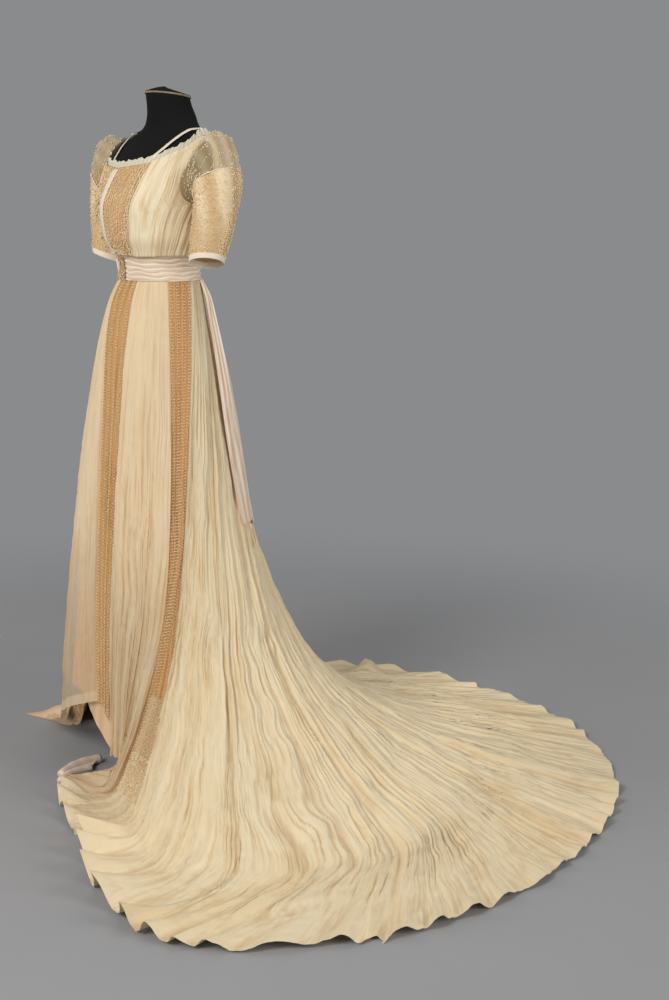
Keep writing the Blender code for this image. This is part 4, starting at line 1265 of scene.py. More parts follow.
def sew(name: str, points: Array, finish: Finish, slot: str, cut: Cut, *, mask: Array | float = 0.5,
        closed: bool = False, outward: bool = True, body: Array | float = 1.0, wall: float = 0.0) -> None:
    """Makes the cloth that stands for the solid of its name, and dresses it.

    Args:
        name: The name of the solid.
        points: The cloth's points, columns first.
        finish: What it is made of.
        slot: The record's material slot.
        cut: Its flat sheet.
        mask: How far each point is up a fold, from 0 to 1, which paints shade low in the fold and a highlight
            high on it.
        closed: Whether the last column meets the first.
        outward: Whether columns grow to the left seen from outside.
        body: How closely woven or doubled the cloth is at each point.
        wall: How thick it is made on its inner side.
    """
    part = grid_piece(name, points, closed, mask, outward, body)
    if wall:
        thicken(part, wall)
    dress(part, finish, slot, [name], cut)


def sew_beads(name: str, centres: Sequence[Array], sizes: Sequence[Array],
              shape: BeadShape = BeadShape.SMALL) -> None:
    """Sews groups of pearl beads of the given radii on as one dressed piece."""
    beads = bead_piece(name, np.concatenate(centres), np.concatenate(sizes), shape)
    dress(beads, Finish.PEARL, "beaded_net")


# The dress form

@dataclass
class DressForm:
    """The black limbless form, its capped neck and its stand."""

    sides: int = 80
    rows: int = 80
    rim: tuple = ((0.0006, 0.0004), (0.0024, 0.0012), (0.0028, 0.0026), (0.0022, 0.0042))
    cap_edge: tuple = ((0.0022, 0.0042), (0.0006, 0.0060))
    cap_half: float = 0.040
    cap_foot: float = 0.0060
    cap_rise: float = 0.0085
    cap_steps: int = 8

    def neck_top(self, deg: Array) -> Array:
        """The height of the slanting cut of the neck."""
        return NECK_TOP_Z + NECK_TILT * np.cos(np.radians(deg))

    def rings(self, profile: Sequence[tuple[float, float]]) -> Array:
        """Rings of points round the cut of the neck.

        Args:
            profile: How far out and up from the edge of the cut each ring is.

        Returns:
            The points, one column of them for each direction.
        """
        deg = full_turn(self.sides)[:, 0]
        z = self.neck_top(deg)
        edge = form_point(deg, z)
        centre = stack(np.zeros_like(z), through(FORM_Z, FORM_TABLE["centre_y"], z), z)
        return np.stack([edge + unit(edge - centre) * out + np.array([0, 0, rise])
                         for out, rise in profile], axis=1)

    def build(self) -> None:
        """Builds the torso and the cap, and paints the stand."""
        deg = full_turn(self.sides)
        v = np.linspace(0, 1, self.rows)[None, :]
        points = form_point(deg, TORSO_FOOT_Z + (self.neck_top(deg) - TORSO_FOOT_Z) * v)
        torso = grid_piece("form_cover", points, closed=True)
        rework(torso, close_ends)
        dress(torso, Finish.FORM, "form_cover", ["form_torso"])
        rim = grid_piece("form_neck_rim", self.rings(self.rim), closed=True)
        dress(rim, Finish.RIM, "neck_cap", ["form_neck_cap"])
        dome = list(self.cap_edge)
        for k in range(1, self.cap_steps + 1):
            lift = math.sin(0.5 * math.pi * k / self.cap_steps)
            dome.append((-self.cap_half * k / self.cap_steps, self.cap_foot + self.cap_rise * lift))
        cap = grid_piece("form_neck_dome", self.rings(dome), closed=True)
        rework(cap, close_ends)
        dress(cap, Finish.FORM, "form_cover")
        for node in ("form_pole", "form_base"):
            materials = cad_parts[node].data.materials
            materials.clear()
            materials.append(Finish.METAL.material())


# The bodice

@dataclass
class BodicePanel:
    """One gathered panel of the bodice."""

    name: str
    inner_deg: float
    side_deg: float
    folds: int
    depth: float
    front: bool
    columns: int
    rows: int
    cut: Cut
    wide: float = 0.11
    long: float = 0.27
    gather_spacing: float = 0.0085
    fine_spacing: float = 0.0040
    fine_depth: float = 0.0012
    lift: float = 0.0006

    def fan_place(self, deg: Array, z: Array) -> Array:
        """Where a point is across the gathers, which fan out from the belt."""
        return (np.abs(deg) - PANEL_HALF_DEG) / curve(GATHER_FAN, z)

    def build(self) -> None:
        """Builds the panel with its gathers, a droop over the belt and a painted shade by the armhole."""
        sign = 1 if self.side_deg > 0 else -1
        away = -sign if self.front else sign
        u, v = shares(self.columns, self.rows)
        edge = self.side_deg + away * armhole_half_deg(bodice_z(self.side_deg, v))
        deg = self.inner_deg + (edge - self.inner_deg) * u
        z = bodice_z(deg, v)
        place = self.fan_place(deg, z) if self.front else u + 0 * v
        seed = 7 + self.folds + int(abs(self.inner_deg)) % 5
        gathers = Crinkles(seed, run=0.13, sharp=1.2).height(
            place, v, self.wide, self.long, self.gather_spacing)
        fine = Crinkles(seed + 3, run=0.06, first_count=12).height(
            place, v, self.wide, self.long, self.fine_spacing)
        pleat = wave(2 * np.pi * self.folds * place)
        uneven = 0.70 + 0.30 * np.sin(5.1 * u + 1.3)
        loose = 0.06 + 0.94 * soft_step(v, TUCKED, 0.10) * (1 - 0.55 * soft_step(v, 0.70, 0.30))
        flat = 1 - 0.6 * soft_step(u, 0.80, 0.20)
        height = self.depth * (0.45 * pleat * uneven + 0.75 * gathers) * loose * flat + self.lift
        height = height + self.fine_depth * fine * soft_step(v, TUCKED, 0.06) * seam_fade(u)
        points = raised(bodice_surface(deg, z), form_normal(deg, z), height)
        near_fold = np.exp(-((z - BLOUSE_Z) / BLOUSE_HALF_HEIGHT) ** 2)
        points[..., 2] = points[..., 2] - BLOUSE_DROOP * near_fold * (0.5 + 0.5 * gathers)
        # Painted shade: the fold colour is darkened towards the armhole, between SHADE_FOOT_Z and SHADE_TOP_Z
        beside_armhole = ease_in((SHADE_TOP_Z - z) / 0.03) * soft_step(z, SHADE_FOOT_Z, 0.05)
        shade = soft_step(u, 0.60, 0.40) * beside_armhole
        mask = (0.20 * pleat + 0.55 * gathers + 0.25 * fine) * (1 - 0.45 * shade)
        sew(self.name, points, Finish.BODICE, "chiffon", self.cut, mask=mask,
            outward=self.side_deg > self.inner_deg)


@dataclass
class Bodice:
    """The bodice: beaded front, gathered fronts and backs, ribbon, edging and straps."""

    panel_columns: int = 72
    panel_rows: int = 90
    panel_beads: int = 1500
    bead_lines: int = 26
    edge_strands: tuple = (0.985, 0.955, 0.02, 0.05)
    strand_beads: int = 62
    tuft_beads: int = 260
    edging_columns: int = 600
    edging_rows: int = 9
    edging_waves: int = 30
    strap_width: float = 0.008
    strap_lift: float = 0.0032
    strap_crown: float = 0.0006
    ribbon_half: float = 0.055
    ribbon_ends: tuple[float, float] = (0.225, 0.985)
    ribbon_lift: float = 0.0030
    ribbon_crown: float = 0.0008
    ribbon_wall: float = 0.0006

    def panels(self) -> list[BodicePanel]:
        """The gathered panels.

        Returns:
            Two fronts and two backs.
        """
        chest = ("form_cover",)
        back_cut = Cut(0.26, 0.27, "gathered", chest, 0.056)
        return [
            BodicePanel("bodice_front_left", PANEL_HALF_DEG, 90, 6, 0.0042, True, 120, 90,
                        Cut(0.22, 0.25, "gathered", chest, 0.040)),
            BodicePanel("bodice_front_right", -PANEL_HALF_DEG, -90, 6, 0.0042, True, 100, 70,
                        Cut(0.20, 0.25, "gathered", chest, 0.028)),
            BodicePanel("bodice_back_left", 180, 90, 4, 0.0035, False, 90, 70, back_cut),
            BodicePanel("bodice_back_right", -180, -90, 4, 0.0035, False, 90, 70, back_cut),
        ]

    def build(self) -> None:
        """Builds every piece of the bodice."""
        for panel in self.panels():
            panel.build()
        self.build_panel()
        self.build_strip()
        self.build_edging()
        self.build_straps()

    def panel_points(self, u: Array, v: Array, lift: float) -> tuple[Array, Array]:
        """Points of the beaded front panel.

        Args:
            u: Shares across it.
            v: Shares up the bodice.
            lift: How far they stand off the bodice's inner face.

        Returns:
            The points and their outward directions.
        """
        deg = -PANEL_HALF_DEG + 2 * PANEL_HALF_DEG * u
        z = bodice_z(deg, v)
        normals = form_normal(deg, z)
        return raised(bodice_surface(deg, z), normals, lift), normals

    def build_panel(self) -> None:
        """Builds the beaded front panel with its beads."""
        u, v = shares(self.panel_columns, self.panel_rows)
        points, normals = self.panel_points(u, v, 0.0)
        ribs = Crinkles(3, run=0.05).height(u, v, 0.10, 0.27, 0.0050)
        points = raised(points, normals, 0.0008 + 0.0014 * ribs * soft_step(v, TUCKED, 0.06))
        sew("bodice_beaded_panel", points, Finish.PANEL, "beaded_net",
            Cut(0.20, 0.24, "hung", ("form_cover",), 0.036), mask=ribs)
        self.bead_panel(points, normals)

    def bead_panel(self, points: Array, normals: Array) -> None:
        """Sews on rows of beads, strands down the edges and loose tufts.

        Args:
            points: The panel's points.
            normals: Its outward directions.
        """
        rng = np.random.default_rng(11)
        centres, sizes = [], []

        def add(across: Array, along: Array, lift: Array | float, least: float, most: float) -> None:
            """Adds beads to the panel.

            Args:
                across: Shares across it.
                along: Shares up the bodice.
                lift: How far they are lifted.
                least: Their least radius.
                most: Their most.
            """
            i, j = across * (self.panel_columns - 1), along * (self.panel_rows - 1)
            centres.append(raised(sampled(points, i, j), sampled(normals, i, j), lift))
            sizes.append(rng.uniform(least, most, across.shape))

        lines, count, tufts = self.bead_lines, self.panel_beads, self.tuft_beads
        across = (rng.integers(0, lines, count) + 0.5 + rng.normal(0, 0.16, count)) / lines
        add(across, rng.uniform(TUCKED + 0.02, 0.99, count), 0.0012, 0.0010, 0.0019)
        strand = np.linspace(TUCKED + 0.03, 0.99, self.strand_beads)
        for edge in self.edge_strands:
            add(edge + rng.normal(0, 0.006, strand.shape), strand, 0.0020, 0.0014, 0.0021)
        bunch = rng.integers(0, lines, tufts)
        across = rng.uniform(0.0, 0.34, lines)[bunch] + rng.normal(0, 0.012, tufts)
        along = rng.uniform(0.32, 0.86, lines)[bunch] + rng.normal(0, 0.010, tufts)
        add(np.clip(across, 0.005, 0.99), np.clip(along, 0.25, 0.98), rng.uniform(0.001, 0.007, tufts),
            0.0012, 0.0020)
        sew_beads("bodice_beads", centres, sizes, BeadShape.ROUND)

    def build_strip(self) -> None:
        """Builds the satin ribbon down the front panel."""
        half = self.ribbon_half
        u = np.linspace(0.5 - half, 0.5 + half, 9)[:, None]
        v = np.linspace(*self.ribbon_ends, 70)[None, :]
        crown = self.ribbon_crown * (1 - ((u - 0.5) / half) ** 2)
        points = raised(*self.panel_points(u, v, self.ribbon_lift), crown)
        sew("bodice_satin_strip", points, Finish.SATIN, "satin",
            Cut(0.017, 0.20, "laid", ("bodice_beaded_panel",)), mask=0.8, wall=self.ribbon_wall)

    def build_edging(self) -> None:
        """Builds the gathered net that stands up round the neckline."""
        deg = full_turn(self.edging_columns)
        v = np.linspace(0, 1, self.edging_rows)[None, :]
        a = np.radians(deg)
        z = neckline_z(deg) + 0.0009 + v * (0.0095 + 0.0030 * np.abs(np.sin(a * 26)))
        gathers = (1 + np.cos(a * self.edging_waves)) * 0.5
        fine = (1 + np.cos(a * 97 + 2 * np.sin(a * 7))) * 0.5
        height = 0.0006 + v * (0.0034 * gathers + 0.0016 * fine)
        sew("neck_edging", raised(bodice_surface(deg, z), form_normal(deg, z), height), Finish.EDGING,
            "sheer_net", Cut(0.90, 0.018, "gathered", ("bodice_front_left", "form_cover")), mask=fine,
            closed=True)

    def build_straps(self) -> None:
        """Builds the two thin satin ribbons over the shoulders."""
        v = np.linspace(0, 1, 60)
        deg, z = (through(column(STRAP, "at"), column(STRAP, name), v) for name in ("deg", "z"))
        u = np.linspace(-0.5, 0.5, 5)[:, None, None]
        lift = self.strap_lift + self.strap_crown * (1 - (2 * u) ** 2)
        for side, word in SIDES:
            centre, out = form_point(side * deg, z), form_normal(side * deg, z)
            across = np.cross(unit(np.gradient(centre, axis=0)), out)
            points = centre[None] + across[None] * (u * self.strap_width) + out[None] * lift
            sew(f"strap_{word}", points, Finish.SATIN, "satin", Cut(0.010, 0.20, "laid", ("form_cover",)),
                mask=0.85, outward=False, wall=self.ribbon_wall)


# The sleeves

@dataclass
class Sleeve:
    """One sleeve: sheer net, a lined pearled part, a satin hem band and a cord between."""

    side: int
    word: str
    sides: int = 120
    net_rows: int = 50
    lined_rows: int = 60
    band_rows: int = 8
    net_fold: float = 0.0026
    net_folds: int = 11
    lined_fold: float = 0.0030
    lined_folds: int = 5
    lift: float = 0.0010
    band_lift: float = 0.0024
    band_wall: float = 0.0010
    cord_radius: float = 0.0011
    cord_lift: float = 0.0012
    lined_pearls: int = 1350
    net_pearls: int = 850
    net_swags: int = 5

    def grid(self, rows: int) -> tuple[Array, Array]:
        """Angles round the arm and shares along one piece of the sleeve."""
        return full_turn(self.sides), np.linspace(0, 1, rows)[None, :]

    def points(self, start: Array, end: Array, height: Array) -> tuple[Array, Array]:
        """Points between two places along the sleeve.

        Args:
            start: Where they start for each angle round the arm, in rings from the armhole.
            end: Where they end.
            height: How far they stand off the sleeve's inner face, over the whole grid.

        Returns:
            The points and their outward directions.
        """
        turn, v = self.grid(height.shape[1])
        base = sleeve_surface(turn, start + (end - start) * v, self.side)
        normals = grid_normals(base, closed=True) * self.side
        return raised(base, normals, height), normals

    def soft_folds(self, turn: Array, v: Array, depth: float, count: int) -> Array:
        """Folds that are deepest on the outside of the arm.

        Args:
            turn: Angles round the arm.
            v: Shares along the piece.
            depth: How deep they are.
            count: How many there are.

        Returns:
            Their heights.
        """
        a = np.radians(turn)
        folds = 0.5 + 0.5 * np.cos(a * count + 1.5 * np.sin(3 * v + count))
        return depth * (0.55 + 0.45 * np.cos(a)) * folds

    def build(self) -> None:
        """Builds the sleeve's pieces and pearls."""
        turn, v = self.grid(self.net_rows)
        net_end, band_start = NET_END - NET_END_RISE * wave(np.radians(turn)) ** 2, 0 * turn + BAND_START
        round_arm = {"closed": True, "outward": self.side > 0}
        names = [f"sleeve_{kind}_{self.word}" for kind in ("net", "lined", "band", "cord")]
        fold = self.soft_folds(turn, v, self.net_fold, self.net_folds) * ease_in(v / 0.5)
        net, net_out = self.points(0 * turn, net_end, self.lift + fold)
        sew(names[0], net, Finish.NET, "sheer_net",
            Cut(0.32, 0.12, "gathered", (f"bodice_front_{self.word}",), 0.033),
            mask=fold / self.net_fold, **round_arm)
        v = self.grid(self.lined_rows)[1]
        fold = self.soft_folds(turn, v, self.lined_fold, self.lined_folds)
        fold = fold * (1 - 0.8 * soft_step(v, 0.3, 0.6))
        lined, lined_out = self.points(net_end, band_start, self.lift + fold)
        sew(names[1], lined, Finish.LINED, "beaded_net", Cut(0.28, 0.16, "hung", (names[0],)),
            mask=fold / self.lined_fold, **round_arm)
        height = np.full((self.sides, self.band_rows), self.band_lift)
        band, _ = self.points(band_start, 0 * turn + SLEEVE_END, height)
        sew(names[2], band, Finish.SATIN, "satin", Cut(0.23, 0.014, "laid", (names[1],)),
            mask=0.85, wall=self.band_wall, **round_arm)
        seam = net[:, -1] + net_out[:, -1] * self.cord_lift
        dress(tube_piece(names[3], seam, self.cord_radius), Finish.SATIN, "satin")
        self.sew_pearls(net, net_out, lined, lined_out)

    def sew_pearls(self, net: Array, net_out: Array, lined: Array, lined_out: Array) -> None:
        """Sews pearls thickly on the lined part and in scallops on the net.

        Args:
            net: The net's points.
            net_out: Its outward directions.
            lined: The lined part's points.
            lined_out: Its outward directions.
        """
        seed = 40 + self.side
        rng = np.random.default_rng(seed)
        centres = [scattered(lined, lined_out, self.lined_pearls, seed, 0.0017)]
        sizes = [rng.uniform(0.0010, 0.0020, self.lined_pearls)]
        turn = rng.uniform(0, 1, self.net_pearls)
        row = rng.integers(0, self.net_swags, self.net_pearls)
        swag = 0.10 + 0.20 * row + 0.08 * np.abs(np.sin(np.pi * turn * 8 + row))
        swag = swag + rng.normal(0, 0.022, self.net_pearls)
        i, j = turn * (self.sides - 1.01), np.clip(swag, 0.02, 0.98) * (net.shape[1] - 1.01)
        centres.append(raised(sampled(net, i, j), sampled(net_out, i, j), 0.0012))
        sizes.append(rng.uniform(0.0008, 0.0017, self.net_pearls))
        sew_beads(f"sleeve_pearls_{self.word}", centres, sizes, BeadShape.ROUND)


# The belt and the sash

@dataclass
class Belt:
    """The pleated satin belt, what hangs over it, the sash ends and the tassel."""

    columns: int = 180
    rows: int = 74
    top: float = 1.11
    pleats: int = 5
    pleat_depth: float = 0.0024
    tail_deg: tuple[float, float] = (-35, -5)
    tail_beads: int = 210
    loop_deg: float = -20
    loop_z: float = 1.125
    loop_halves: tuple = ((4.5, 0.40), (2.6, 0.52))
    loop_points: int = 33
    loop_height: float = 0.42
    loop_lift: float = 0.0092
    loop_step: float = 0.0012
    loop_radius: float = 0.0016
    sash_wall: float = 0.0007
    tassel_strands: int = 9
    tassel_counts: tuple[int, int] = (20, 24)
    tassel_radii: tuple[float, float] = (0.0015, 0.00115)
    tassel_reach: float = 0.0035
    tassel_drop: float = 0.004
    tassel_pitch: float = 0.0021

    def build(self) -> None:
        """Builds every piece at the waist."""
        deg = full_turn(self.columns)
        v = np.linspace(0, self.top, self.rows)[None, :]
        turn = np.radians(deg)
        wander = 0.16 * np.sin(turn + 0.6) + 0.10 * cloth_noise(turn * 2.4 + 9, v * 2, 17)
        wander = wander + 0.03 * np.sin(turn * 9 + 5 * v)
        phase = (v + wander) * self.pleats
        saw = phase - np.floor(phase)
        weight = 0.55 + 0.45 * cloth_noise(np.floor(phase) + 3.5 + 0 * turn, turn * 2.2, 12)
        pleat = weight * np.where(saw < 0.75, saw / 0.75, (1 - saw) / 0.25) ** 1.2
        bulge = 0.0012 * np.sin(np.pi * np.clip(v, 0, 1)) + 0.0012 * np.exp(-((v - 1.05) / 0.06) ** 2)
        fine = cloth_noise(turn * 9 + 20, v * 26, 5)
        height = SATIN + 0.0004 + self.pleat_depth * pleat + bulge + 0.0008 * fine
        base = belt_surface(deg, v)
        points = raised(base, grid_normals(base, closed=True), height)
        # The pleats are painted with shade in their hollows and a highlight on their crests
        sew("belt", points, Finish.SATIN, "satin", Cut(0.60, 0.060, "folded", ("form_cover",)),
            mask=0.2 + 0.8 * pleat, closed=True)
        self.build_tail()
        self.build_loops()
        self.build_sash()
        self.build_tassel()

    def build_tail(self) -> None:
        """Builds the beaded tail of the front panel over the belt."""
        deg = np.linspace(*self.tail_deg, 30)[:, None]
        v = np.linspace(0.04, 1.0, 40)[None, :]
        base = belt_surface(deg, v)
        normals = grid_normals(base)
        points = raised(base, normals, 0.0062 + 0.0006 * np.sin(v * 40) * np.cos(deg))
        sew("bodice_panel_tail", points, Finish.BAND, "beaded_net", Cut(0.048, 0.047, "hung", ("belt",)),
            mask=0.6)
        sizes = np.random.default_rng(5).uniform(0.0008, 0.0015, self.tail_beads)
        sew_beads("panel_tail_beads", [scattered(points, normals, self.tail_beads, 9, 0.0010)], [sizes])

    def build_loops(self) -> None:
        """Builds the two turns of the little satin loop on the tail."""
        away = np.linspace(-1, 1, self.loop_points)
        for k, (half, foot) in enumerate(self.loop_halves):
            deg = self.loop_deg + half * away
            path = belt_surface(deg, foot + self.loop_height * np.abs(away) ** 1.4)
            out = form_normal(deg, np.full(self.loop_points, self.loop_z))
            path = path + out * (self.loop_lift + self.loop_step * k)
            loop = tube_piece(f"belt_loop_{k}", path, self.loop_radius)
            dress(loop, Finish.SATIN, "satin", ["belt_loop"] if k == 0 else ())

    def sash_points(self, end: SashEnd, columns: int, rows: int) -> tuple[Array, Array]:
        """Points and fold heights of one sash end.

        Args:
            end: Where it hangs.
            columns: How many points it has across.
            rows: How many points it has from the belt down.

        Returns:
            The points and a fold height from 0 to 1 for each.
        """
        u, v = shares(columns, rows)
        z = WAIST_Z + v * (end.foot_z - WAIST_Z)
        width = 0.45 + 0.55 * ease_in(v / 0.7)
        deg = 0.5 * (end.near_deg + end.far_deg) + (u - 0.5) * (end.far_deg - end.near_deg) * width
        near, far = (through(column(SASH_EASE, "at"), column(SASH_EASE, edge), v) for edge in ("near", "far"))
        base = round_axis(skirt_reach(deg, z) + near + (far - near) * u, deg, z)
        wander = 0.07 * np.sin(5 * v + end.near_deg) + 0.03 * np.sin(13 * v)
        soft = wave(6 * np.pi * (u + wander * np.sin(np.pi * u)))
        crease = np.exp(-((u - 0.62 - 0.16 * np.sin(4 * v + 1)) / 0.09) ** 2)
        fine = cloth_noise(u * 9 + 5, v * 16, end.near_deg)
        height = 0.0032 * soft * (1 - 0.6 * v) + 0.0016 * crease + 0.0008 * fine
        # The folds and the crease take a painted highlight where they rise and painted shade between
        mask = np.clip(0.35 * soft + 0.35 * crease + 0.4 * fine, 0, 1)
        return raised(base, -grid_normals(base), 0.0008 + height), mask

    def build_sash(self) -> None:
        """Builds the two sash ends."""
        for end in SASH_ENDS:
            points, mask = self.sash_points(end, 34, 130)
            sew(end.name, points, Finish.SATIN, "satin", Cut(0.055, 0.55, "hung", ("belt",), 0.022),
                mask=mask, outward=False, wall=self.sash_wall)

    def build_tassel(self) -> None:
        """Builds the bead tassel that hangs from the middle of the nearer sash end's foot."""
        top = self.sash_points(SASH_ENDS[0], 26, 110)[0][11, -1]
        outward = unit(top * np.array([1.0, 1.0, 0.0]))
        centres, sizes = [], []
        for k in range(self.tassel_strands):
            turn = 2 * math.pi * k / self.tassel_strands
            reach = self.tassel_reach if k else 0.0
            for bead in range(self.tassel_counts[k % 2]):
                drop = self.tassel_drop + self.tassel_pitch * bead
                spread = reach * min(1.0, 0.35 + bead / 14)
                offset = np.array([math.cos(turn) * spread, math.sin(turn) * spread, -drop])
                centres.append(top + offset + outward * (0.0020 + 0.26 * drop))
                sizes.append(self.tassel_radii[bead > 3])
        tassel = bead_piece("sash_tassel", np.array(centres), np.array(sizes))
        dress(tassel, Finish.PEARL, "sheer_net", ["sash_tassel"])


# The skirt and the train

@dataclass
class SkirtPanel:
    """One panel of the skirt or train, from waist to hem.

    fold_depth holds the depth of its main folds at the top, half way and at the foot, and
    fine_depth that of its crinkles at the waist, half way and at the hem. curl is how high
    the cloth puffs up by the hem, firm how much of that is sure, and sheer how much less
    closely woven it looks low down.
    """

    name: str
    start: float
    end: float
    folds: int
    fold_depth: tuple[float, float, float]
    fine_depth: tuple[float, float, float]
    columns: int
    rows: int
    finish: Finish
    slot: str
    cut: Cut
    seed: int
    v_start: float = 0.0
    v_end: float = 1.0
    curl: float = 0.0
    curl_width: float = 0.115
    curl_start: float = 0.88
    curl_until: float = 1.0
    spacing: float = 0.016
    wander: float = 1.0
    calm_start: float = 0.84
    low_hem: float | None = None
    sheer: float = 0.0
    firm: float = 0.0

    def fold(self, u: Array, v: Array) -> Array:
        """The panel's main folds, as its solid has them.

        Args:
            u: Shares across the panel.
            v: Shares from waist to hem.

        Returns:
            Their heights.
        """
        waist, middle, hem = self.fold_depth
        uneven = 0.72 + 0.28 * np.sin(7.3 * u + self.start)
        w = (v - self.v_start) / (self.v_end - self.v_start)
        upper = waist + (middle - waist) * ease_in(w / 0.5)
        lower = middle + (hem - middle) * soft_step(w, 0.5, 0.5)
        return np.where(w < 0.5, upper, lower) * wave(2 * np.pi * self.folds * u) * uneven

    def surface(self, columns: int, rows: int) -> tuple[Array, Array, Array, Array]:
        """The panel without its folds.

        Args:
            columns: How many points it has across.
            rows: How many points it has from top to foot.

        Returns:
            Its points and outward directions, with the shares across and down.
        """
        u = np.linspace(0, 1, columns)[:, None]
        v = np.linspace(self.v_start, self.v_end, rows)[None, :]
        drift = 0.018 * np.sin(2 * np.pi * 2 * u + self.start) + 0.010 * np.sin(2 * np.pi * 5 * u)
        deg = self.start + (self.end - self.start) * (u + drift * np.sin(np.pi * u))
        points = smoothed(read_lines(skirt_lines(deg[:, 0]), v[0]), 3)
        return points, -grid_normals(points), u, v

    def pattern(self, u: Array, v: Array, wide: Array, long: float) -> tuple[Array, Array]:
        """The crinkles and the main folds of the panel.

        Args:
            u: Shares across the panel.
            v: Shares from waist to hem.
            wide: The panel's width at each v.
            long: Its length.

        Returns:
            Heights over the base, and a mask from 0, painted shade low in a fold, to 1, painted highlight
            high on it.
        """
        loose = ease_in((v - 0.01) / 0.20)
        stray = 0.030 * (cloth_noise(u * wide / 0.13 + 5, v * long / 0.12, self.seed + 41) - 0.5)
        stray = stray + 0.012 * (cloth_noise(u * wide / 0.05 + 5, v * long / 0.045, self.seed + 43) - 0.5)
        at = u + stray * self.wander * soft_step(v, 0.10, 0.4) / np.maximum(wide, 0.05) * seam_fade(u)
        broad = Crinkles(self.seed, run=0.50, sharp=1.0).height(at, v, wide, long, self.spacing * 2.8)
        medium = Crinkles(self.seed + 7, run=0.24, sharp=1.4).height(at, v, wide, long, self.spacing)
        fine = Crinkles(self.seed + 13, run=0.10, sharp=1.2).height(at, v, wide, long, self.spacing * 0.45)
        cross = cloth_noise(u * wide / 0.022 + 9, v * long / 0.016, self.seed + 19)
        calm = 1 - 0.65 * soft_step(v, self.calm_start, 0.10)
        depth = through([0.0, 0.5, 1.0], np.array(self.fine_depth), v)
        relief = 0.9 * broad * loose + (0.85 * medium + 0.34 * fine) * calm + 0.20 * cross * loose
        height = 0.55 * self.fold(u, v) + 0.0010 + (relief - 0.6 * loose) * depth * seam_fade(u)
        # The mask paints shade low in the folds and crinkles and a highlight high on them
        mask = 0.30 * broad + (0.55 * medium + 0.35 * fine) * calm + 0.30 * (1 - calm) + 0.14 * cross - 0.06
        return height, np.clip(mask, 0, 1)

    def points(self) -> tuple[Array, Array, Array]:
        """The finished panel.

        Returns:
            Its points, outward directions and fold mask.
        """
        base, normals, u, v = self.surface(self.columns, self.rows)
        wide, long = row_widths(base), mean_length(base)
        height, mask = self.pattern(u, v, wide, long)
        if self.curl:
            height, mask, base = self.ruffle(height, mask, base, u, v, wide)
        points = raised(base, normals, height)
        away = np.hypot(points[..., 0] - BUNCH[0], points[..., 1] - BUNCH[1])
        uneven = 0.5 + 0.7 * cloth_noise(u * wide / 0.014, v * long / 0.03, BUNCH_SEED)
        points[..., 2] = points[..., 2] + BUNCH_RISE * (np.exp(-(away / BUNCH_RADIUS) ** 2) * uneven)
        if self.low_hem is not None:
            drop = np.maximum(points[:, -1:, 2] - self.low_hem, 0.0)
            points[..., 2] = points[..., 2] - drop * soft_step(v, 0.75, 0.25)
        points[..., 2] = np.clip(points[..., 2], FLOOR_GAP, WAIST_Z)
        return points, normals, mask

    def ruffle(self, height: Array, mask: Array, base: Array, u: Array, v: Array,
               wide: Array) -> tuple[Array, Array, Array]:
        """Puffs up the cloth by the hem in uneven curls and makes the hem's outline uneven.

        Args:
            height: Fold heights over the base.
            mask: Fold colours from 0 to 1, from painted shade to painted highlight.
            base: The base points.
            u: Shares across the panel.
            v: Shares from waist to hem.
            wide: The panel's width at each v.

        Returns:
            The new heights, colours and base points.
        """
        places = u * wide[0, -1] / self.curl_width
        uneven = cloth_noise(places * 0.37 + 3, 0 * v + 0.3, self.seed + 31)
        chance = cloth_noise(places * 0.55 + 8, 0 * v + 0.3, self.seed + 35) ** 1.5
        sure = self.firm * (1 - soft_step(u, 0.45, 0.2))
        strong = np.clip(sure + 0.15 + 1.1 * chance, 0, 1)
        strong = strong * (1 - 0.80 * soft_step(u, self.curl_until, 0.12))
        near_hem = np.clip((v - self.curl_start) / (1 - self.curl_start), 0, 1)
        flute = wave(2 * np.pi * (places + 1.7 * uneven + 0.25 * near_hem)) ** 1.25
        edge = seam_fade(u, 0.015)
        ripple = cloth_noise(places * 3.1 + 9, near_hem * 2 + 0 * u, self.seed + 33)
        rise = (flute * strong + 0.16 * ripple) * near_hem ** 1.3
        height = height * (1 - 0.5 * near_hem * edge) + self.curl * rise * edge
        # The curls' crests take a painted highlight and their hollows painted shade
        mask = np.clip(mask * (1 - 0.6 * near_hem) + near_hem * (0.30 + 0.45 * flute), 0, 1)
        pull = (1 - flute * strong * edge) * self.curl * 0.28 + 0.005 * ripple * edge
        rows = np.arange(v.shape[1])[None, :] - pull * near_hem * v.shape[1]
        columns = np.arange(u.shape[0])[:, None] + 0 * rows
        base = sampled(base, columns.ravel(), np.clip(rows, 0, None).ravel()).reshape(base.shape)
        return height, mask, base

    def build(self) -> tuple[Array, Array]:
        """Builds the panel.

        Returns:
            Its points and outward directions.
        """
        points, normals, mask = self.points()
        body = 1.0
        if self.sheer:
            above_hem = points[..., 2] - points[:, -1:, 2]
            woven = 1 - self.sheer * ease_in((SHEER_TOP_Z - points[..., 2]) / SHEER_FADE)
            body = np.maximum(woven, HEM_BODY * (above_hem < HEM_HEIGHT))
        sew(self.name, points, self.finish, self.slot, self.cut, mask=mask, outward=False, body=body)
        return points, normals


def chiffon_cut(width: float, length: float, area: float) -> Cut:
    """A gathered chiffon panel that hangs from the belt."""
    return Cut(width, length, "gathered", ("belt",), area)


class LacePatch(NamedTuple):
    """The patch of lace on the foot of a side band."""

    band: str
    word: str
    cut: Cut
    lower_beads: int


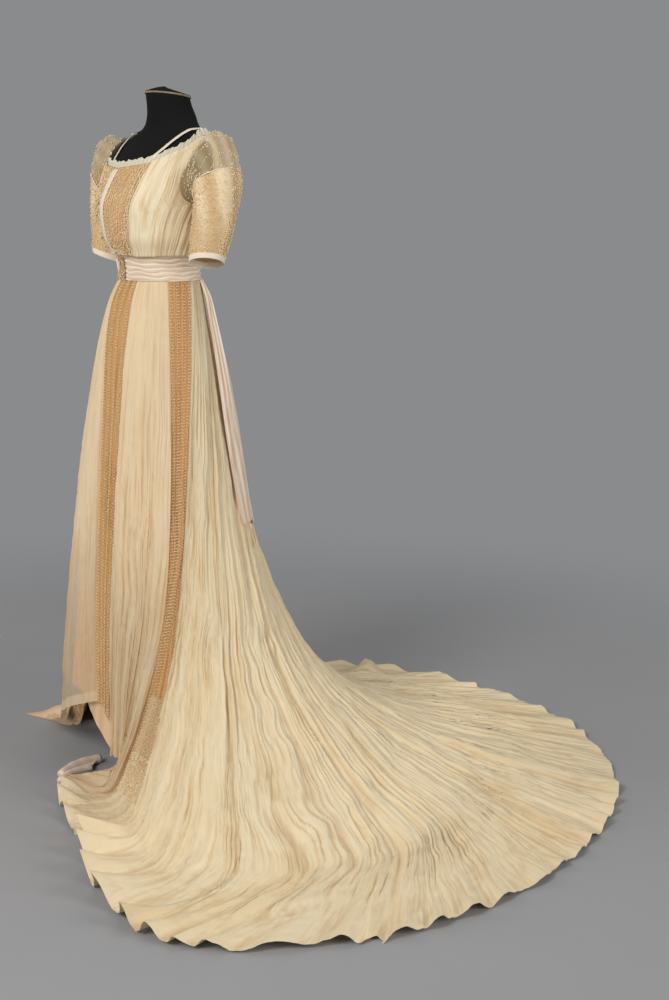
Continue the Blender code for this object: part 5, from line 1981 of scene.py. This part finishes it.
@dataclass
class Skirt:
    """The skirt's panels, bands, lace, underskirt and the satin on the floor."""

    bar_rows: int = 4
    wide_bar_rows: int = 6
    bar_pitch: float = 0.0066
    bead_pitch: float = 0.0027
    lace: tuple[LacePatch, ...] = (
        LacePatch("skirt_band_left", "left", Cut(0.10, 0.20, "laid", ("skirt_band_left",)), 1300),
        LacePatch("skirt_band_right", "right", Cut(0.175, 0.22, "laid", ("skirt_band_right",)), 700))
    lace_grid: tuple[int, int] = (60, 240)
    lace_seam: float = 1 / 6
    lace_top: float = 0.70
    lace_foot: float = 0.815
    lace_lift: float = 0.0042
    scallop: float = 0.0016
    rungs: tuple[int, int] = (34, 15)
    underskirt_deg: tuple[float, float] = (-62.0, 24.0)
    floor_wall: float = 0.0008

    def panels(self) -> list[SkirtPanel]:
        """Every panel, from the centre front round to the wearer's right.

        Returns:
            The panels.
        """
        band_fine = (0.0008, 0.0020, 0.0020)
        front_fine = (0.0020, 0.0075, 0.0085)
        band, front = (Finish.BAND, "beaded_net"), (Finish.CHIFFON, "chiffon")
        train = (Finish.TRAIN, "chiffon")
        return [
            SkirtPanel("skirt_band_front", -30, 20, 2, (0.0004, 0.0020, 0.0022), band_fine, 60, 170, *band,
                chiffon_cut(0.09, 1.00, 0.065), 21),
            SkirtPanel("skirt_front_left", 20, 67, 6, (0.0005, 0.0055, 0.0085), front_fine, 150, 180, *front,
                chiffon_cut(0.40, 1.12, 0.175), 22, spacing=0.013, wander=0.5, low_hem=0.092,
                sheer=0.35),
            SkirtPanel("skirt_band_left", 67, 97, 2, (0.0004, 0.0022, 0.0024), band_fine, 60, 190, *band,
                chiffon_cut(0.09, 1.05, 0.065), 23, v_end=BAND_END),
            SkirtPanel("train_foot_left", 67, 97, 2, (0.0024, 0.0024, 0.0090), (0.003, 0.007, 0.011), 90, 60,
                *train, chiffon_cut(0.32, 0.15, 0.038), 24, v_start=BAND_END, curl=0.034,
                curl_start=0.94, curl_width=0.10, calm_start=0.80, firm=0.5),
            SkirtPanel("train_side_left", 97, 140, 8, (0.0005, 0.0062, 0.0160), (0.0020, 0.0110, 0.0150),
                336, 226, *train, chiffon_cut(1.10, 1.75, 0.72), 25, curl=0.056, curl_width=0.098,
                curl_until=0.72, firm=0.6),
            SkirtPanel("train_back_left", 140, 180, 8, (0.0005, 0.0062, 0.0110), (0.0020, 0.0110, 0.0140),
                280, 180, *train, chiffon_cut(1.10, 1.85, 0.72), 26, curl=0.026, curl_width=0.085,
                curl_start=0.94),
            SkirtPanel("train_back_right", 180, 222, 6, (0.0005, 0.0060, 0.0110), (0.0020, 0.0100, 0.0140),
                200, 150, *train, chiffon_cut(0.95, 1.75, 0.66), 27, curl=0.018, curl_start=0.94),
            SkirtPanel("train_side_right", 222, 257, 4, (0.0005, 0.0055, 0.0100), (0.0020, 0.0090, 0.0120),
                150, 130, *train, chiffon_cut(0.85, 1.55, 0.47), 28, curl=0.014, curl_start=0.94),
            SkirtPanel("skirt_band_right", 257, 287, 2, (0.0004, 0.0022, 0.0040), band_fine, 60, 150, *band,
                chiffon_cut(0.24, 1.30, 0.18), 29),
            SkirtPanel("skirt_front_right", 287, 330, 6, (0.0005, 0.0055, 0.0080), front_fine, 130, 150,
                *front, chiffon_cut(0.50, 1.15, 0.33), 30, spacing=0.013, wander=0.5, sheer=1.0),
        ]

    def build(self) -> None:
        """Builds the whole skirt."""
        for panel in self.panels():
            points, normals = panel.build()
            if panel.name.startswith("skirt_band"):
                self.sew_bars(panel, points, normals)
            for patch in self.lace:
                if patch.band == panel.name:
                    self.build_lace(panel, patch)
        self.build_underskirt()
        self.build_corner()
        self.build_rolls()

    def sew_bars(self, panel: SkirtPanel, points: Array, normals: Array) -> None:
        """Sews short level bars of beads in rows down a band.

        Args:
            panel: The band.
            points: Its points.
            normals: Its outward directions.
        """
        rng = np.random.default_rng(panel.seed)
        columns, rows = points.shape[:2]
        centres, sizes = [], []
        bar_rows = self.wide_bar_rows if panel.name == "skirt_band_right" else self.bar_rows
        for across in np.linspace(0.08, 0.92, bar_rows):
            lengths = path_lengths(points[int(across * (columns - 1))])
            count = int(lengths[-1] / self.bar_pitch)
            at = np.interp((np.arange(count) + 0.5) * self.bar_pitch, lengths, np.arange(rows))
            edges = (sampled(points, np.full(count, i), at) for i in (columns - 1.1, 0.0))
            width = np.linalg.norm(np.subtract(*edges), axis=1)
            for bead in (-1, 0, 1):
                shift = bead * self.bead_pitch / np.maximum(width, 0.02) + rng.normal(0, 0.006, count)
                i = np.clip(across + shift, 0, 1) * (columns - 1.01)
                j = at + rng.normal(0, 0.10, count)
                centres.append(lifted(points, normals, i, j, 0.0014))
                sizes.append(rng.uniform(0.0012, 0.0018, count))
        sew_beads(panel.name + "_beads", centres, sizes)

    def build_lace(self, panel: SkirtPanel, patch: LacePatch) -> None:
        """Builds the patch of beaded lace on the foot of a side band.

        Args:
            panel: The band.
            patch: What the patch is.
        """
        base, normals, u, v = panel.surface(*self.lace_grid)
        rows = (v[0] >= self.lace_top) & (v[0] <= BAND_END)
        columns = (u[:, 0] >= self.lace_seam) & (u[:, 0] <= 1.0)
        lift = panel.fold(u, v)[columns][:, rows] + self.lace_lift
        base, out, u, v = base[columns][:, rows], normals[columns][:, rows], u[columns], v[:, rows]
        foot = soft_step(v, self.lace_foot, 0.03)
        scallop = self.scallop * np.abs(np.sin(u * 30)) * np.abs(np.sin(v * 90)) * foot
        points = raised(base, out, lift + scallop)
        # The lace is darker from its middle to one edge, and its raised scallops take a painted highlight
        side = 0.70 - 0.45 * soft_step(u, 0.40, 0.2)
        mask = side * (1 - foot) + foot * (0.65 + 0.35 * scallop / self.scallop)
        sew(f"lace_patch_{patch.word}", points, Finish.LACE, "beaded_net", patch.cut, mask=mask,
            outward=False)
        self.bead_lace(panel.seed + 50, patch, points, out)

    def bead_lace(self, seed: int, patch: LacePatch, points: Array, out: Array) -> None:
        """Sews beads thickly on the lace's foot and in rungs above it.

        Args:
            seed: The seed of their spread.
            patch: What the patch is.
            points: Its points.
            out: Their outward directions.
        """
        rng = np.random.default_rng(seed)
        last_column, last_row = points.shape[0] - 1, points.shape[1] - 1
        across = rng.uniform(0.02, 0.98, patch.lower_beads)
        down = 1 - 0.42 * rng.uniform(0, 1, patch.lower_beads) ** 1.4
        centres = [lifted(points, out, across * last_column, down * last_row, 0.0012)]
        levels, bars = self.rungs
        places = np.array([((k + 0.5) / bars * last_column + rng.normal(0, 0.3),
                            (0.02 + 0.60 * level / levels) * last_row + rng.normal(0, 0.25))
                           for level in range(levels) for k in range(bars)])
        centres.append(lifted(points, out, places[:, 0], places[:, 1], 0.0012))
        sizes = rng.uniform(0.0011, 0.0019, patch.lower_beads + len(places))
        sew_beads(f"lace_beads_{patch.word}", centres, [sizes])

    def build_underskirt(self) -> None:
        """Builds the peach satin underskirt inside the sheer front."""
        u, v = shares(70, 70)
        start, end = self.underskirt_deg
        deg = start + u * (end - start)
        z = WAIST_Z + v * (curve(UNDERSKIRT_FOOT, deg) - WAIST_Z)
        base = round_axis(skirt_reach(deg, z) - (0.0024 + 0.012 * ease_in(v / 0.20)), deg, z)
        soft = Crinkles(71, run=0.4).height(u, v, 0.4, 0.95, 0.05)
        points = raised(base, -grid_normals(base), 0.0030 * soft * v)
        points[..., 2] = np.minimum(points[..., 2], WAIST_Z)
        sew("satin_underskirt", points, Finish.PEACH, "peach_satin",
            Cut(0.42, 1.02, "hung", ("belt",), 0.27), mask=soft, outward=False)

    def build_corner(self) -> None:
        """Builds the peach satin corner on the floor, crumpled up by the skirt."""
        u, v = shares(30, 24)
        near, far = (inner + (outer - inner) * u[..., None] for inner, outer in np.array(CORNER_EDGES))
        crumple = 0.009 * np.sin(np.pi * u) ** 2 * np.sin(np.pi * v) ** 2
        crumple = crumple + 0.050 * (1 - u) ** 1.2 * np.sin(np.pi * np.clip(v * 1.1, 0, 1)) ** 0.7
        ripple = 0.0018 * np.sin(7 * u + 9 * v) ** 2 * np.sin(np.pi * u) * np.sin(np.pi * v)
        points = near + (far - near) * v[..., None]
        points[..., 2] = 0.0012 + crumple + ripple
        # The crumpled satin is painted paler, as a highlight, where it rises highest
        sew("satin_corner", points, Finish.PEACH, "peach_satin",
            Cut(0.16, 0.13, "draped", ("skirt_front_right",), 0.0125), mask=0.4 + 0.5 * crumple / 0.05,
            outward=False, wall=self.floor_wall)

    def build_rolls(self) -> None:
        """Builds the two rolled satin edges near the front and the sheet between them."""
        t = np.linspace(0, 1, 30)
        bow = np.sin(np.pi * t)
        paths = []
        for roll in ROLLS:
            first, last = np.array(roll.start), np.array(roll.end)
            across = unit(np.cross(last - first, [0, 0, 1.0]))
            path = first + (last - first) * t[:, None] + across * (0.010 * bow)[:, None]
            size = 1.35 * roll.radius * (0.86 + 0.14 * bow) * (1 + 0.02 * np.sin(23 * t))
            path[:, 2] = size
            paths.append(path)
            dress(tube_piece(roll.name, path, size, sides=20), Finish.ROLLED, "satin", [roll.name])
        share = np.linspace(0, 1, 16)[:, None]
        arch = np.sin(np.pi * share)
        sheet = paths[0][None] * (1 - share[..., None]) + paths[1][None] * share[..., None]
        sheet[..., 2] = 0.0015 + 0.010 * arch ** 0.5
        # The sheet's arch is painted paler on top, as a highlight
        part = grid_piece("satin_hem_fold", sheet, mask=0.4 + 0.5 * arch)
        rework(part, face_up)
        thicken(part, self.floor_wall)
        dress(part, Finish.ROLLED, "satin", (), Cut(0.125, 0.045, "laid", ("satin_roll_upper",), 0.0038))


# The studio

class Lamp(NamedTuple):
    """One soft round light: its place, width, power and colour."""

    name: str
    place: tuple[float, float, float]
    size: float
    power: float
    colour: Colour


@dataclass
class Studio:
    """The floor, the light and the camera."""

    azimuth: float = 50.0
    pitch: float = 11.43
    height: float = 1.30
    distance: float = 3.4
    sideways: float = 0.3774
    focal_share: float = 1.559
    sensor: float = 24.0
    floor_half: float = 14.0
    fade_start: float = 0.9
    fade_end: float = 2.6
    backdrop: tuple[int, int, int] = (138, 139, 140)
    lit_point: tuple[float, float, float] = (0.25, 0.15, 0.6)
    lamps: tuple[Lamp, ...] = (
        Lamp("key", (1.5, -3.6, 2.9), 1.6, 92, (1.0, 0.985, 0.96)),
        Lamp("side", (-2.6, -3.4, 2.4), 2.4, 32, (1.0, 0.98, 0.95)),
        Lamp("fill", (4.2, 1.0, 1.7), 2.0, 54, (1.0, 0.99, 0.98)),
        Lamp("top", (0.2, 1.4, 4.2), 3.0, 10, (1.0, 0.98, 0.95)))

    def build(self) -> None:
        """Sets up the floor, lights, world and camera."""
        bm = bmesh.new()
        bmesh.ops.create_grid(bm, x_segments=1, y_segments=1, size=self.floor_half)
        floor = finish_mesh("studio_floor", bm, smooth=False)
        floor.data.materials.append(self.floor_finish())
        bpy.context.scene.view_settings.view_transform = "Standard"
        world = bpy.data.worlds.new("studio")
        bpy.context.scene.world = world
        world.use_nodes = True
        fill(world.node_tree, world.node_tree.nodes["Background"],
             {"Color": (*srgb(*self.backdrop), 1), "Strength": 1.0})
        for lamp in self.lamps:
            self.light(lamp)
        self.aim_camera()

    def floor_finish(self) -> bpy.types.Material:
        """A plain pale floor that fades into the backdrop away from the dress.

        Returns:
            The material.
        """
        finish = PlainFinish("studio_floor", srgb(171, 171, 173), srgb(165, 165, 167), 0.9, grain=3.0,
                             relief=0.0, specular=0.1).make()
        tree = finish.node_tree
        place = add_node(tree, "ShaderNodeTexCoord")
        away = add_node(tree, "ShaderNodeVectorMath", {0: place.outputs["Object"]}, operation="LENGTH")
        fade = add_node(tree, "ShaderNodeMapRange", {
            "Value": away.outputs["Value"], "From Min": self.fade_start, "From Max": self.fade_end,
            "To Min": 1.0, "To Max": 0.0}, interpolation_type="SMOOTHSTEP")
        fill(tree, tree.nodes["Principled BSDF"], {"Alpha": fade.outputs["Result"]})
        return finish

    def light(self, lamp: Lamp) -> None:
        """Adds one soft light that faces the dress.

        Args:
            lamp: What the light is.
        """
        data = bpy.data.lights.new(lamp.name, "AREA")
        data.shape = "DISK"
        data.size = lamp.size
        data.energy = lamp.power
        data.color = lamp.colour
        light = bpy.data.objects.new(lamp.name, data)
        bpy.context.scene.collection.objects.link(light)
        light.location = lamp.place
        target = Vector(self.lit_point) - Vector(lamp.place)
        light.rotation_euler = target.to_track_quat("-Z", "Y").to_euler()

    def aim_camera(self) -> None:
        """Places the camera at the photograph's viewing angle."""
        data = bpy.data.cameras.new("camera")
        data.sensor_fit = "VERTICAL"
        data.sensor_height = self.sensor
        data.lens = self.sensor * self.focal_share
        camera = bpy.data.objects.new("camera", data)
        bpy.context.scene.collection.objects.link(camera)
        a = math.radians(self.azimuth)
        camera.location = (self.sideways * math.cos(a) + self.distance * math.sin(a),
                           self.sideways * math.sin(a) - self.distance * math.cos(a), self.height)
        camera.rotation_euler = (math.radians(90 - self.pitch), 0.0, a)
        bpy.context.scene.camera = camera


def main() -> None:
    """Builds the dressed form, then the studio."""
    logging.basicConfig(level=logging.INFO, format="%(message)s")
    DressForm().build()
    Bodice().build()
    for side, word in SIDES:
        Sleeve(side, word).build()
    Belt().build()
    Skirt().build()
    Studio().build()


if __name__ == "__main__":
    main()
